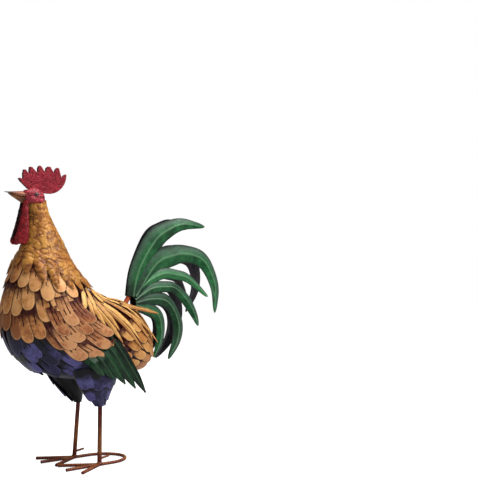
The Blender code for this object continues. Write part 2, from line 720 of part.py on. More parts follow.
# Paint by the start of a node's name, as linear colour and roughness.
PAINTS = {
    "body": ((0.10, 0.05, 0.03), 0.6), "neck": ((0.52, 0.25, 0.08), 0.5),
    "head": ((0.26, 0.04, 0.05), 0.5), "comb": ((0.26, 0.04, 0.05), 0.5),
    "beak": ((0.13, 0.06, 0.04), 0.5), "wattle": ((0.17, 0.02, 0.02), 0.5),
    "eye": ((0.02, 0.02, 0.02), 0.2), "breast": ((0.49, 0.24, 0.10), 0.5),
    "belly": ((0.06, 0.05, 0.12), 0.5), "rump": ((0.45, 0.22, 0.08), 0.5),
    "hackle": ((0.60, 0.30, 0.07), 0.5), "saddle": ((0.60, 0.30, 0.07), 0.5),
    "wing_primaries": ((0.03, 0.08, 0.03), 0.45), "wing": ((0.42, 0.17, 0.07), 0.5),
    "thigh": ((0.06, 0.05, 0.12), 0.5), "leg": ((0.18, 0.08, 0.04), 0.5), "toe": ((0.22, 0.10, 0.04), 0.5),
    "base": ((0.22, 0.10, 0.04), 0.5), "foot": ((0.20, 0.06, 0.04), 0.5), "spur": ((0.22, 0.10, 0.04), 0.5),
    "tail_plate": ((0.03, 0.09, 0.04), 0.4), "tail": ((0.20, 0.05, 0.02), 0.45),
}


def paint_all():
    for node in PARTS.objects:
        start = max((key for key in PAINTS if node.name.startswith(key)), key=len)
        paint(node, *PAINTS[start])


def centre_on_box():
    """Moves the whole figure so that its box is centred over the origin."""
    bpy.context.view_layer.update()
    graph = bpy.context.evaluated_depsgraph_get()
    xs = []
    for node in PARTS.objects:
        xs += [(node.matrix_world @ Vector(corner)).x for corner in node.evaluated_get(graph).bound_box]
    frame = bpy.data.objects.new("rooster", None)
    PARTS.objects.link(frame)
    frame.location.x = -(min(xs) + max(xs)) / 2
    for node in [*PARTS.objects, *CUTTERS.objects]:
        if node is not frame:
            node.parent = frame


def main():
    body_cutter = make_body()
    make_neck_cape()
    make_breast_and_belly()
    make_rump()
    make_saddle()
    make_wing()
    make_thighs(body_cutter)
    make_feet()
    make_base_loop()
    make_head()
    make_tail(body_cutter)
    paint_all()
    centre_on_box()


for old in list(bpy.data.objects):
    bpy.data.objects.remove(old, do_unlink=True)
PARTS = bpy.data.collections.new("metal_rooster_statue")
CUTTERS = bpy.data.collections.new("cutters")
for collection in (PARTS, CUTTERS):
    bpy.context.scene.collection.children.link(collection)
main()
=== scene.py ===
# %% [markdown]
# # A sheet-metal garden rooster
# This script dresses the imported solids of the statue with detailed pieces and
# painted-metal finishes. It loads the solids first, because every piece has to sit
# exactly where its solid sits.

import bmesh
import bpy
import numpy as np
from mathutils import Matrix, Vector, noise


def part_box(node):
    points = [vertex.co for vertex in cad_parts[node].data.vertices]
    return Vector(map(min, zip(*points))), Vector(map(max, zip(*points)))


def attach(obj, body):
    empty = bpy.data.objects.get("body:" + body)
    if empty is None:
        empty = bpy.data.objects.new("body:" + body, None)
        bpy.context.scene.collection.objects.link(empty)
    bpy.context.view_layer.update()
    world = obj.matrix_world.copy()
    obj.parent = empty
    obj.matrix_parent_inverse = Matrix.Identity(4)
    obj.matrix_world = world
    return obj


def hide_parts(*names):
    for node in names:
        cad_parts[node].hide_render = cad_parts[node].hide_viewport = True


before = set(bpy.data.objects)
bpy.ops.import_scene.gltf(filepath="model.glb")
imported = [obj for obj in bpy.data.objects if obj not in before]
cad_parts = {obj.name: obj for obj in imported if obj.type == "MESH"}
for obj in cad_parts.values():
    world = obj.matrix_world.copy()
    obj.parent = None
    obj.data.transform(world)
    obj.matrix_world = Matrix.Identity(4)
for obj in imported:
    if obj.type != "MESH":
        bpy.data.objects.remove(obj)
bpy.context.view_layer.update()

MM = 0.001
SHEET = 0.8 * MM
FEET_X = sum(corner[0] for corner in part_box("foot_weld_left")) / 2

# %% [markdown]
# ## The forms that the feathers lie on
# The real body is a beaten hollow shell, and every feather is bent to lie on it. So
# the script needs the shell as a formula: give it an angle round the body and a share
# of its length, and it answers with a point. The same rails drew the solids, which
# keeps the looks and the solids together.

# %% Body and thigh as formulas
# Body sections from throat to rump: the upper point and the lower point as (x, z), and
# the half width. Thigh sections from the top down: z, x, how far out, half length, half
# width. All of them are millimetres.
BODY_SECTIONS = [
    ((-90, 463), (-120, 461), 15),
    ((-79, 434), (-121, 428), 21),
    ((-61, 399), (-130, 385), 35),
    ((-48, 370), (-140, 357), 46),
    ((-37, 350), (-148, 335), 55),
    ((-25, 332), (-155, 312), 62),
    ((-10, 315), (-160, 288), 67),
    ((9, 302), (-161, 262), 71),
    ((30, 295), (-157, 236), 74),
    ((52, 291), (-143, 209), 75),
    ((75, 283), (-118, 184), 75),
    ((94, 270), (-85, 166), 74),
    ((109, 252), (-48, 155), 70),
    ((121, 232), (-5, 150), 63),
    ((127, 213), (42, 151), 51),
    ((127, 195), (80, 160), 35),
    ((119, 178), (109, 172), 8),
]
THIGH_SECTIONS = [
    (208, -16, 43, 42, 24),
    (186, -15, 44, 45, 26),
    (165, -13, 44, 42, 26),
    (145, -9, 43, 32, 22),
    (127, -5, 41, 20, 16),
    (113, 0, 39, 11, 10),
    (105, 3, 38, 7, 7),
]


def at(x, y, z):
    """A point given in millimetres from the floor midway between the legs."""
    return np.array([x * MM + FEET_X, y * MM, z * MM])


def spline(rows, t):
    """Points at shares t along a smooth curve through rows."""
    rows = np.asarray(rows, float)
    last = len(rows) - 1
    place = np.clip(t, 0, 1) * last
    index = np.minimum(place.astype(int), last - 1)
    f = (place - index)[..., None]
    before, start, end, after = (rows[np.clip(index + k, 0, last)] for k in (-1, 0, 1, 2))
    return 0.5 * (2 * start + (end - before) * f
                  + (2 * before - 5 * start + 4 * end - after) * f ** 2
                  + (3 * start - before - 3 * end + after) * f ** 3)


def body_form(u, v):
    """u turns from the top over the left side, v runs from throat to rump."""
    u, v = np.broadcast_arrays(u, v)
    rows = spline([top + bottom + (half,) for top, bottom, half in BODY_SECTIONS], v) * MM
    top_x, top_z, bottom_x, bottom_z, half = np.moveaxis(rows, -1, 0)
    x = (top_x + bottom_x) / 2 + np.cos(u) * (top_x - bottom_x) / 2 + FEET_X
    z = (top_z + bottom_z) / 2 + np.cos(u) * (top_z - bottom_z) / 2
    return np.stack([x, -np.sin(u) * half, z], -1)


def thigh_form(u, v):
    """The left thigh: u turns from its rear over its outer side, v runs down."""
    u, v = np.broadcast_arrays(u, v)
    z, x, out, half_length, half_width = np.moveaxis(spline(THIGH_SECTIONS, v) * MM, -1, 0)
    return np.stack([x + np.cos(u) * half_length + FEET_X, -out - np.sin(u) * half_width, z], -1)


def outward(form, u, v):
    """The outward normals of a form, from points close by."""
    step = 1e-4
    around = form(u + step, v) - form(u - step, v)
    along = form(u, v + step) - form(u, v - step)
    normal = np.cross(around, along)
    return normal / np.linalg.norm(normal, axis=-1, keepdims=True)


def lifted(form, u, v, lift):
    """Points that stand off a form by lift, along its outward normal."""
    return form(u, v) + outward(form, u, v) * np.asarray(lift)[..., None]


THROAT, RUMP = body_form(0.0, np.array([0.0, 1.0]))
print("body runs from", THROAT.round(3), "to", RUMP.round(3))

# %% [markdown]
# ## Small helpers for meshes
# Most pieces here are thin sheets, so one helper turns grids of points into a mesh and
# stores two things on it. The UV map says where a point is on its own feather, across
# and along. Named values hold one number for each point, such as the tone that gives
# each feather its own shade. Both random sources get a seed, so each run is the same.

# %% Mesh helpers
RANDOM = np.random.default_rng(7)
noise.seed_set(2)


def add_values(mesh, name, numbers):
    """Stores one number for each point of a mesh."""
    values = mesh.attributes.new(name, "FLOAT", "POINT")
    values.data.foreach_set("value", np.asarray(numbers, np.float32))


def add_object(name, points, faces, uv=None, values=None):
    """A mesh object from arrays. values are named numbers, one for each point."""
    mesh = bpy.data.meshes.new(name)
    mesh.from_pydata(np.asarray(points).tolist(), [], [list(face) for face in faces])
    if uv is not None:
        layer = mesh.uv_layers.new(name="feather")
        corners = np.empty(len(mesh.loops), np.int32)
        mesh.loops.foreach_get("vertex_index", corners)
        layer.data.foreach_set("uv", np.asarray(uv, np.float32)[corners].ravel())
    for key, numbers in (values or {}).items():
        add_values(mesh, key, numbers)
    obj = bpy.data.objects.new(name, mesh)
    bpy.context.scene.collection.objects.link(obj)
    return obj


def grid_faces(rows, columns, closed=False, start=0):
    """Quads over a grid of points, row after row."""
    faces = []
    for i in range(rows - 1):
        for j in range(columns if closed else columns - 1):
            k = (j + 1) % columns
            a, b = start + i * columns, start + (i + 1) * columns
            faces.append((a + j, a + k, b + k, b + j))
    return faces


def deselect_all():
    if bpy.context.object and bpy.context.object.mode != "OBJECT":
        bpy.ops.object.mode_set(mode="OBJECT")
    bpy.ops.object.select_all(action="DESELECT")


def make_active(obj):
    deselect_all()
    obj.select_set(True)
    bpy.context.view_layer.objects.active = obj


def apply_modifier(obj, kind, **values):
    """Adds a modifier with these values and applies it at once."""
    make_active(obj)
    modifier = obj.modifiers.new(kind.title(), kind)
    for key, value in values.items():
        setattr(modifier, key, value)
    bpy.ops.object.modifier_apply(modifier=modifier.name)


def edit_all(obj, operator, **settings):
    """Runs one edit mode operator on the whole mesh."""
    make_active(obj)
    bpy.ops.object.mode_set(mode="EDIT")
    bpy.ops.mesh.select_all(action="SELECT")
    operator(**settings)
    bpy.ops.object.mode_set(mode="OBJECT")


def face_outward(obj):
    edit_all(obj, bpy.ops.mesh.normals_make_consistent, inside=False)


def dress(obj, materials, nodes, angle=40):
    """Finishes a piece: materials, smooth shading, and its place in the frame."""
    obj.data.materials.clear()
    for material in materials:
        obj.data.materials.append(material)
    make_active(obj)
    bpy.ops.object.shade_smooth_by_angle(angle=np.radians(angle))
    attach(obj, "root")
    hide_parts(*nodes)
    triangles = sum(len(face.vertices) - 2 for face in obj.data.polygons)
    print(f"{obj.name}: {triangles} triangles")

# %% [markdown]
# ## Paint and patina
# The statue is steel with brushed enamel in bright colours. Dark wash lies in every
# crease, and pale painted highlights lie along raised edges and folds. One node group
# makes the uneven enamel from three tones, and each material gives it its own colours. A
# group like this is built once, so a change to the brushwork reaches every colour at the
# same time.

# %% Node helpers
def linear(red, green, blue):
    """A screen colour, 0 to 255, as the linear colour that shaders want."""
    channels = [c / 255 for c in (red, green, blue)]
    return (*[c / 12.92 if c <= 0.04045 else ((c + 0.055) / 1.055) ** 2.4 for c in channels], 1)


def add_node(tree, kind, inputs=None, **settings):
    """A node with its settings, and its inputs set or linked by name or number."""
    node = tree.nodes.new(kind)
    for key, value in settings.items():
        setattr(node, key, value)
    for key, value in (inputs or {}).items():
        if isinstance(value, bpy.types.NodeSocket):
            tree.links.new(value, node.inputs[key])
        else:
            node.inputs[key].default_value = value
    return node


def mix(tree, factor, first, second, blend="MIX"):
    node = add_node(tree, "ShaderNodeMix", data_type="RGBA", blend_type=blend)
    for socket, value in ((node.inputs[0], factor), (node.inputs[6], first), (node.inputs[7], second)):
        if isinstance(value, bpy.types.NodeSocket):
            tree.links.new(value, socket)
        else:
            socket.default_value = value
    return node.outputs[2]


def ramp(tree, value, low, high, start=0.0, end=1.0):
    """A smooth step: start below low, end above high."""
    node = add_node(tree, "ShaderNodeMapRange", {"Value": value, "From Min": low, "From Max": high,
                                                 "To Min": start, "To Max": end},
                    interpolation_type="SMOOTHSTEP")
    return node.outputs["Result"]


def math_node(tree, operation, first, second=0.0):
    node = add_node(tree, "ShaderNodeMath", {0: first, 1: second}, operation=operation)
    return node.outputs[0]


def object_place(tree):
    """The place of a point in the statue, in metres."""
    return add_node(tree, "ShaderNodeTexCoord").outputs["Object"]


def split(tree, vector):
    """The outputs X, Y and Z of a vector."""
    return add_node(tree, "ShaderNodeSeparateXYZ", {0: vector}).outputs


def cloud_noise(tree, place, scale, detail, **inputs):
    settings = {"Vector": place, "Scale": scale, "Detail": detail}
    settings.update({name.replace("_", " ").title(): value for name, value in inputs.items()})
    return add_node(tree, "ShaderNodeTexNoise", settings).outputs["Fac"]


def attribute(tree, name):
    """A number stored on the points of a mesh."""
    return add_node(tree, "ShaderNodeAttribute", attribute_name=name).outputs["Fac"]


def new_group(name, inputs, outputs):
    group = bpy.data.node_groups.new(name, "ShaderNodeTree")
    for label, kind, value in inputs:
        socket = group.interface.new_socket(label, in_out="INPUT", socket_type="NodeSocket" + kind)
        socket.default_value = value
    for label, kind in outputs:
        group.interface.new_socket(label, in_out="OUTPUT", socket_type="NodeSocket" + kind)
    return group, group.nodes.new("NodeGroupInput"), group.nodes.new("NodeGroupOutput")

# %% [markdown]
# ### The shared paint group
# Three noises of different size do the work. Large patches and short strokes together
# choose between the light, main and dark tone, and a fine grain sets small dark chips.
# The group puts out a colour, a roughness and a height, and holds no shader itself.

# %% The brushed paint group
PATCH_SCALE = 55.0
STROKE_SCALE = 210.0
GRAIN_SCALE = 900.0


def build_brushed_paint():
    """Uneven brushed enamel: patches of three tones and small chips."""
    white = (1, 1, 1, 1)
    group, given, result = new_group(
        "brushed paint",
        [("Light", "Color", white), ("Main", "Color", white), ("Dark", "Color", white),
         ("Scale", "Float", 1.0), ("Wash", "Float", 0.5), ("Shade", "Float", 0.5)],
        [("Color", "Color"), ("Roughness", "Float"), ("Height", "Float")])
    place = object_place(group)
    scaled = add_node(group, "ShaderNodeVectorMath", {0: place, "Scale": given.outputs["Scale"]},
                      operation="SCALE").outputs[0]
    patches = cloud_noise(group, scaled, PATCH_SCALE, 4.0, roughness=0.6)
    strokes = cloud_noise(group, scaled, STROKE_SCALE, 5.0, roughness=0.65, distortion=0.6)
    grain = cloud_noise(group, scaled, GRAIN_SCALE, 2.0)
    blend = math_node(group, "ADD", math_node(group, "MULTIPLY", patches, 0.6),
                      math_node(group, "MULTIPLY", strokes, 0.4))
    lit = math_node(group, "ADD", blend, math_node(group, "SUBTRACT", given.outputs["Shade"], 0.5))
    colour = mix(group, ramp(group, lit, 0.44, 0.66), given.outputs["Main"], given.outputs["Light"])
    deep = math_node(group, "MULTIPLY", ramp(group, lit, 0.50, 0.32), given.outputs["Wash"])
    colour = mix(group, deep, colour, given.outputs["Dark"])
    specks = ramp(group, grain, 0.68, 0.76, 0.0, 0.5)
    colour = mix(group, math_node(group, "MULTIPLY", specks, given.outputs["Wash"]), colour,
                 given.outputs["Dark"])
    group.links.new(colour, result.inputs["Color"])
    group.links.new(ramp(group, strokes, 0.3, 0.7, 0.34, 0.52), result.inputs["Roughness"])
    height = math_node(group, "ADD", math_node(group, "MULTIPLY", strokes, 0.7),
                       math_node(group, "MULTIPLY", grain, 0.3))
    group.links.new(height, result.inputs["Height"])
    return group


BRUSHED_PAINT = build_brushed_paint()
print("sockets of the paint group:", [item.name for item in BRUSHED_PAINT.interface.items_tree])

# %% [markdown]
# ### Starting a material
# Every material of the statue begins alike: the paint group goes into the colour, the
# roughness and a weak bump of a Principled shader. The gloss is kept low, because the
# enamel is satin and old. scale makes the brushwork finer, and wash makes it dirtier.

# %% Starting a paint material
PAINT_METALLIC = 0.1
PAINT_SPECULAR = 0.22
PAINT_COAT = 0.03
PAINT_COAT_ROUGHNESS = 0.25
BRUSH_BUMP = 0.35
BRUSH_DEPTH = 0.6 * MM


def start_paint(name, light, main, dark, scale=1.0, wash=0.5, shade=None):
    """A material with the brushed paint in it, its tree, shader and group node."""
    material = bpy.data.materials.new(name)
    material.use_nodes = True
    tree = material.node_tree
    shader = tree.nodes["Principled BSDF"]
    paint = add_node(tree, "ShaderNodeGroup", node_tree=BRUSHED_PAINT)
    for label, colour in (("Light", light), ("Main", main), ("Dark", dark)):
        paint.inputs[label].default_value = linear(*colour)
    paint.inputs["Scale"].default_value = scale
    paint.inputs["Wash"].default_value = wash
    if shade is not None:
        tree.links.new(shade(tree), paint.inputs["Shade"])
    bump = add_node(tree, "ShaderNodeBump", {"Height": paint.outputs["Height"],
                                             "Strength": BRUSH_BUMP, "Distance": BRUSH_DEPTH})
    tree.links.new(bump.outputs["Normal"], shader.inputs["Normal"])
    tree.links.new(paint.outputs["Roughness"], shader.inputs["Roughness"])
    tree.links.new(paint.outputs["Color"], shader.inputs["Base Color"])
    shader.inputs["Metallic"].default_value = PAINT_METALLIC
    shader.inputs["Specular IOR Level"].default_value = PAINT_SPECULAR
    shader.inputs["Coat Weight"].default_value = PAINT_COAT
    shader.inputs["Coat Roughness"].default_value = PAINT_COAT_ROUGHNESS
    return material, tree, shader, paint


def tone_shade(tree):
    """Each feather's own tone, where 0 to 1 gives a shade from 0.32 to 0.66."""
    spread = math_node(tree, "MULTIPLY", attribute(tree, "tone"), 0.34)
    return math_node(tree, "ADD", spread, 0.32)

# %% [markdown]
# ## Feather paint
# Every round feather is painted the same way. The tip is the brightest. The root, where
# the next feather covers it, takes dark wash and painted shade, and the pressed slit is
# painted dark as shade. A dark line runs round the cut edge, partly the edge's own colour
# and partly painted shadow, with a pale painted highlight just inside it. Both lines and
# the slit are values on the points, so they follow a feather however it is bent.

# %% Feather paint
def wobble(tree, scale, amount):
    """A noise around zero, which makes the border of a colour uneven."""
    cloud = cloud_noise(tree, object_place(tree), scale, 4.0)
    return math_node(tree, "MULTIPLY", math_node(tree, "SUBTRACT", cloud, 0.5), amount)


def feather_place(tree):
    """Across and along a feather, each from 0 to 1."""
    outputs = split(tree, add_node(tree, "ShaderNodeUVMap", uv_map="feather").outputs["UV"])
    return outputs["X"], outputs["Y"]


def feather_paint(name, light, main, dark, root, rim, slit=(58, 26, 26), rim_highlight_strength=0.55,
                  wash=0.45, root_shade_reach=(0.4, 0.72)):
    """root is the colour of the dark wash and painted shade at the root and of the dark
    outline, which is partly painted shadow. root_shade_reach is where along the feather
    that colour begins and where it is full. rim is the colour of the painted highlight
    inside the cut edge, and slit the colour of the painted shade in the slit."""
    material, tree, shader, paint = start_paint(name, light, main, dark, wash=wash,
                                                shade=tone_shade)
    along = feather_place(tree)[1]
    reach = math_node(tree, "ADD", along, wobble(tree, 130.0, 0.55))
    # Dark wash and painted shade: the root colour darkens each feather towards its covered root.
    colour = mix(tree, ramp(tree, reach, *root_shade_reach), paint.outputs["Color"], linear(*root))
    border = attribute(tree, "rim")
    # Painted highlight: a pale line just inside the cut edge, towards the tip.
    pale = math_node(tree, "MULTIPLY", ramp(tree, border, 0.05, 0.3, 0.0, rim_highlight_strength),
                     ramp(tree, along, 0.6, 0.2))
    colour = mix(tree, pale, colour, linear(*rim))
    # Painted shadow together with the cut edge's own dark colour: a dark line in the root colour along
    # the edge.
    colour = mix(tree, ramp(tree, border, 0.42, 0.62, 0.0, 0.9), colour, linear(*root))
    # Painted shade: the pressed slit is painted dark.
    colour = mix(tree, ramp(tree, attribute(tree, "slit"), 0.1, 0.35), colour, linear(*slit))
    tree.links.new(colour, shader.inputs["Base Color"])
    return material


BREAST_PAINT = feather_paint("breast copper", (224, 166, 108), (196, 130, 74), (112, 54, 30),
                             (66, 22, 16), (240, 196, 130), rim_highlight_strength=0.4, wash=0.7,
                             root_shade_reach=(0.32, 0.66))
WING_PAINT = feather_paint("wing copper", (206, 148, 100), (168, 104, 64), (108, 52, 36),
                           (72, 26, 22), (232, 184, 130), wash=0.75)
RUMP_PAINT = feather_paint("rump gold", (210, 152, 88), (184, 122, 64), (130, 72, 42),
                           (74, 34, 24), (236, 190, 122), root_shade_reach=(0.55, 0.9))
BLUE_PAINT = feather_paint("belly blue", (80, 76, 128), (38, 36, 73), (15, 14, 35), (7, 7, 18),
                           (112, 106, 158), slit=(8, 8, 18), rim_highlight_strength=0.3, wash=0.85)
# Dark paint for the cut edges and undersides of the tabs: partly the edge's own colour, partly painted
# shade under each tab.
CUT_EDGE_AND_SHADE = start_paint("cut edge", (92, 44, 30), (62, 28, 20), (30, 14, 12), wash=0.6)[0]
BLUE_EDGE_AND_SHADE = start_paint("blue cut edge", (40, 38, 66), (24, 23, 42), (10, 10, 20), wash=0.6)[0]
print("feather paints:", BREAST_PAINT.name, WING_PAINT.name, RUMP_PAINT.name, BLUE_PAINT.name)

# %% [markdown]
# ## One round feather
# A breast feather is a flat tab of sheet steel, about 23 mm wide, with a round tip, a
# slightly domed middle and a slit pressed down from its root. All of them are alike, so
# one is modelled flat, in shares of its width and length, and later bent into every
# place. It starts as a grid, because a bent sheet needs points inside it. Rows near the
# tip are narrowed to make the round end, and planes cut the lines of the slit and rim.

# %% Selecting by place in edit mode
def pick(obj, test):
    """Selects the points that pass a test of their place, in edit mode."""
    bpy.ops.mesh.select_mode(type="VERT")
    bpy.ops.mesh.select_all(action="DESELECT")
    bm = bmesh.from_edit_mesh(obj.data)
    for vert in bm.verts:
        vert.select_set(test(vert.co))
    bm.select_flush_mode()
    bmesh.update_edit_mesh(obj.data)


def cut_line(obj, x):
    """Cuts the whole mesh along a line of constant x."""
    bpy.ops.mesh.select_all(action="SELECT")
    bpy.ops.mesh.bisect(plane_co=(x, 0, 0), plane_no=(1, 0, 0))

# %% Modelling the master feathers
TAB_ROWS = 14
TAB_LIFTED_Z = 10
TAB_SHEET = 1.2 * MM
SLIT_DEPTH = 1.3 * MM
SLIT_CUTS = (-0.14, -0.07, 0.0, 0.07, 0.14)
SLIT_HALF = 0.09
RIM_CUTS = (-0.9, -0.8, 0.8, 0.9)
RIM_WIDTH = 2.4 * MM


def model_tab(name, tip_share, slits, root_width=0.86):
    """A flat tab, x from -1 to 1 across. The height of a row holds its share of the
    length plus TAB_LIFTED_Z, which read_master takes off again. tip_share is how much
    of the length the round tip takes."""
    deselect_all()
    bpy.ops.mesh.primitive_grid_add(x_subdivisions=6, y_subdivisions=TAB_ROWS, size=2)
    tab = bpy.context.object
    tab.name = name
    bpy.ops.object.mode_set(mode="EDIT")
    for slit in slits:
        for side in SLIT_CUTS:
            cut_line(tab, slit + side)
    for side in RIM_CUTS:
        cut_line(tab, side)
    for k in range(TAB_ROWS + 1):
        row = -1 + 2 * k / TAB_ROWS
        target = (k / TAB_ROWS) ** 1.7
        width = 1 - (1 - root_width) * target
        if target < tip_share:
            width *= max(0.22, np.sqrt(1 - (1 - target / tip_share) ** 2))
        pick(tab, lambda place: abs(place.y - row) < 1e-4)
        bpy.ops.transform.resize(value=(width, 1, 1), center_override=(0, 0, 0))
        bpy.ops.transform.translate(value=(0, 0, TAB_LIFTED_Z + target))
    bpy.ops.object.mode_set(mode="OBJECT")
    return tab


def read_master(tab, slits, dome, slit_end=0.0, width=22 * MM, length=60 * MM):
    """The tab as arrays: across, along, height, faces, and its rim and slit values.
    rim falls from 1 on the cut edge to 0 at RIM_WIDTH inside it."""
    count = len(tab.data.vertices)
    places = np.empty(count * 3)
    tab.data.vertices.foreach_get("co", places)
    across, _, along = places.reshape(-1, 3).T
    along = along - TAB_LIFTED_Z
    faces = [tuple(face.vertices) for face in tab.data.polygons]
    borders = {key for key, uses in edge_uses(faces).items() if uses == 1}
    flat = np.stack([across * width / 2, along * length], 1)
    edge = flat[sorted({index for key in borders for index in key if along[index] < 0.99})]
    away = np.linalg.norm(flat[:, None] - edge[None], axis=2).min(axis=1)
    rim = np.clip(1 - away / RIM_WIDTH, 0, 1)
    slit = np.zeros(count)
    for middle in slits:
        off_slit = abs(across - middle * (1 - 0.14 * along))
        slit[(off_slit < SLIT_HALF) & (along > slit_end)] = 1
    height = dome * (1 - across ** 2) - SLIT_DEPTH * slit
    bpy.data.objects.remove(tab)
    return {"across": across, "along": along, "height": height, "faces": faces,
            "rim": rim, "slit": slit}


def edge_uses(faces):
    """How many faces use each edge. A border edge has one."""
    uses = {}
    for face in faces:
        for a, b in zip(face, face[1:] + face[:1]):
            key = (min(a, b), max(a, b))
            uses[key] = uses.get(key, 0) + 1
    return uses


ONE_SLIT = (0.0,)
TWO_SLITS = (-0.3, 0.3)
ROUND_TAB = read_master(model_tab("round tab", 0.24, ONE_SLIT), ONE_SLIT, 0.9 * MM, 0.44)
WING_TAB = read_master(model_tab("wing tab", 0.22, TWO_SLITS), TWO_SLITS, 0.8 * MM, 0.46)
SMALL_TAB = read_master(model_tab("small tab", 0.34, ()), (), 1.0 * MM, length=36 * MM)
print("points in a round tab:", len(ROUND_TAB["across"]))

# %% [markdown]
# ## Bending feathers onto the body
# A flat tab is laid on the body by walking: its length is measured along the body from
# its tip, and its width round the body. The tips stand off further than the roots, as
# shingles do, so each row covers the roots of the next one and throws a small shadow.

# %% Bending a tab
ROOT_SHARE = 0.62
FRONT_END = 42
FRONT_FADE = 30


def bend_tab(master, form, tab):
    """The points of one tab on a form. tab is (angle, share, length, width, twist,
    root lift, tip lift), in degrees and metres."""
    angle, share, length, width, twist, root_lift, tip_lift = tab
    turn, lean = np.radians(angle), np.radians(twist)
    across = master["across"] * width / 2
    along = master["along"] * length
    side = across * np.cos(lean) + along * np.sin(lean)
    back = along * np.cos(lean) - across * np.sin(lean)
    line = np.linspace(0, min(1, share + 0.12), 160)
    points = form(np.full_like(line, turn), line)
    walked = np.concatenate([[0], np.cumsum(np.linalg.norm(np.diff(points, axis=0), axis=1))])
    v = np.interp(np.interp(share, line, walked) - back, walked, line)
    step = 1e-3
    radius = np.linalg.norm(form(turn + step, v) - form(turn - step, v), axis=-1) / (2 * step)
    u = turn - side / np.maximum(radius, 0.006)
    rise = (1 - np.clip(back / length, 0, 1)) ** 1.25
    return lifted(form, u, v, root_lift + (tip_lift - root_lift) * rise + master["height"])


def tab_object(name, master, form, tabs, mirrored=False, shown=ROOT_SHARE,
               tone_range=(0.0, 1.0), front=0.0):
    """One mesh that holds all the tabs of a row, given wall thickness. shown is the
    share of their length that the row above leaves open, and front how much painted
    shade darkens the tabs towards the middle of the breast."""
    side = np.array((1, -1, 1) if mirrored else (1, 1, 1))
    turned = -1 if mirrored else 1
    count = len(master["across"])
    points, faces, shades = [], [], []
    for k, tab in enumerate(tabs):
        points.append(bend_tab(master, form, tab) * side)
        faces += [tuple(index + k * count for index in face[::turned])
                  for face in master["faces"]]
        # Painted shade: tabs near the keel get a darker tone, by front.
        front_shade = np.clip((FRONT_END - abs(180 - tab[0])) / FRONT_FADE, 0, 1)
        shades.append(np.full(count, RANDOM.uniform(*tone_range) - front * front_shade))
    # The painted shade at the root begins where the row above stops covering the tab.
    along = np.minimum(1, master["along"] * ROOT_SHARE / shown)
    uv = np.tile(np.stack([master["across"] / 2 + 0.5, along], 1), (len(tabs), 1))
    values = {"rim": np.tile(master["rim"], len(tabs)),
              "slit": np.tile(master["slit"], len(tabs)),
              "tone": np.concatenate(shades)}
    obj = add_object(name, np.concatenate(points), faces, uv, values)
    edit_all(obj, bpy.ops.mesh.flip_normals)
    # The undersides and cut edges take the second material, the dark edge paint with its painted
    # shade.
    apply_modifier(obj, "SOLIDIFY", thickness=TAB_SHEET, offset=-1, material_offset=1,
                   material_offset_rim=1)
    return obj


def row_tabs(places, length, width, root_lift=1.2, tip_lift=5.2, spread=3.0, both=True,
             step=0.9):
    """Tabs for a row of (angle, share) places, with every second one a little higher.
    Lengths are in millimetres, and spread is the largest twist in degrees."""
    tabs = []
    for k, (angle, share) in enumerate(sorted(places)):
        higher = step * (k % 2)
        twist = RANDOM.uniform(-spread, spread)
        tab_length = length * MM * RANDOM.uniform(0.95, 1.05)
        tab_width = width * MM * RANDOM.uniform(0.94, 1.06)
        lifts = ((root_lift + higher) * MM, (tip_lift + higher) * MM)
        tabs.append((angle, share, tab_length, tab_width, twist, *lifts))
        if both:
            tabs.append((360 - angle, share, tab_length, tab_width, -twist, *lifts))
    return tabs


print("most rows leave", ROOT_SHARE, "of a tab in sight")

# %% [markdown]
# ## Rows of round feathers
# The breast has three rows. Each place is an angle round the body, 0 at the top and 180
# at the keel, and a share of its length. After the places come the length of the tabs
# and the lift of their tips in millimetres, the share that shows, and the tones. The
# third row is the darkest, and the middle of the breast is darker than its sides: both
# are painted shade on the lower front of the breast.

# %% Breast feathers
BREAST_ROWS = [
    ([(168, 0.285), (148, 0.31), (129, 0.335), (112, 0.385), (95, 0.355), (80, 0.395)],
     64, 4.6, 0.66, (0.6, 1.1)),
    ([(172, 0.417), (155, 0.427), (138, 0.41), (121, 0.475), (104, 0.44), (90, 0.475)],
     68, 4.3, 0.72, (0.6, 1.15)),
    # The low tones of the third row are painted shade.
    ([(172, 0.48), (159, 0.517), (146, 0.537), (133, 0.535), (123, 0.60), (110, 0.53)],
     68, 5.4, 0.7, (-0.1, 0.6)),
]
for number, (places, length, lift, shown, tone_range) in enumerate(BREAST_ROWS, 1):
    tabs = row_tabs(places, length, 23, root_lift=0.5, tip_lift=lift, step=0.8, spread=4)
    row = tab_object(f"breast_feathers_{number}_detailed", ROUND_TAB, body_form, tabs,
                     shown=shown, tone_range=tone_range, front=0.55)
    dress(row, [BREAST_PAINT, CUT_EDGE_AND_SHADE], [f"breast_feathers_{number}"])

# %% [markdown]
# The belly has two blue rows under the breast. Their tabs are narrower and twist more,
# and each row lists its places and the length of its tabs.

# %% Belly feathers
BELLY_ROWS = [
    ([(172, 0.575), (163, 0.56), (156, 0.61), (149, 0.60), (141, 0.645), (134, 0.63),
      (128, 0.685), (121, 0.665)], 60),
    ([(176, 0.66), (168, 0.655), (160, 0.70), (152, 0.68), (143, 0.73), (134, 0.72),
      (126, 0.745)], 50),
]
for number, (places, length) in enumerate(BELLY_ROWS, 1):
    tabs = row_tabs(places, length, 21, tip_lift=4.2, spread=7)
    row = tab_object(f"belly_feathers_{number}_detailed", ROUND_TAB, body_form, tabs)
    dress(row, [BLUE_PAINT, BLUE_EDGE_AND_SHADE], [f"belly_feathers_{number}"])

# %% [markdown]
# The rump is round and its feathers are evenly spaced, so each row is only how far it
# reaches down the sides in degrees, how many tabs it has, its share along the body and
# the length of its tabs. These tabs have no slit.

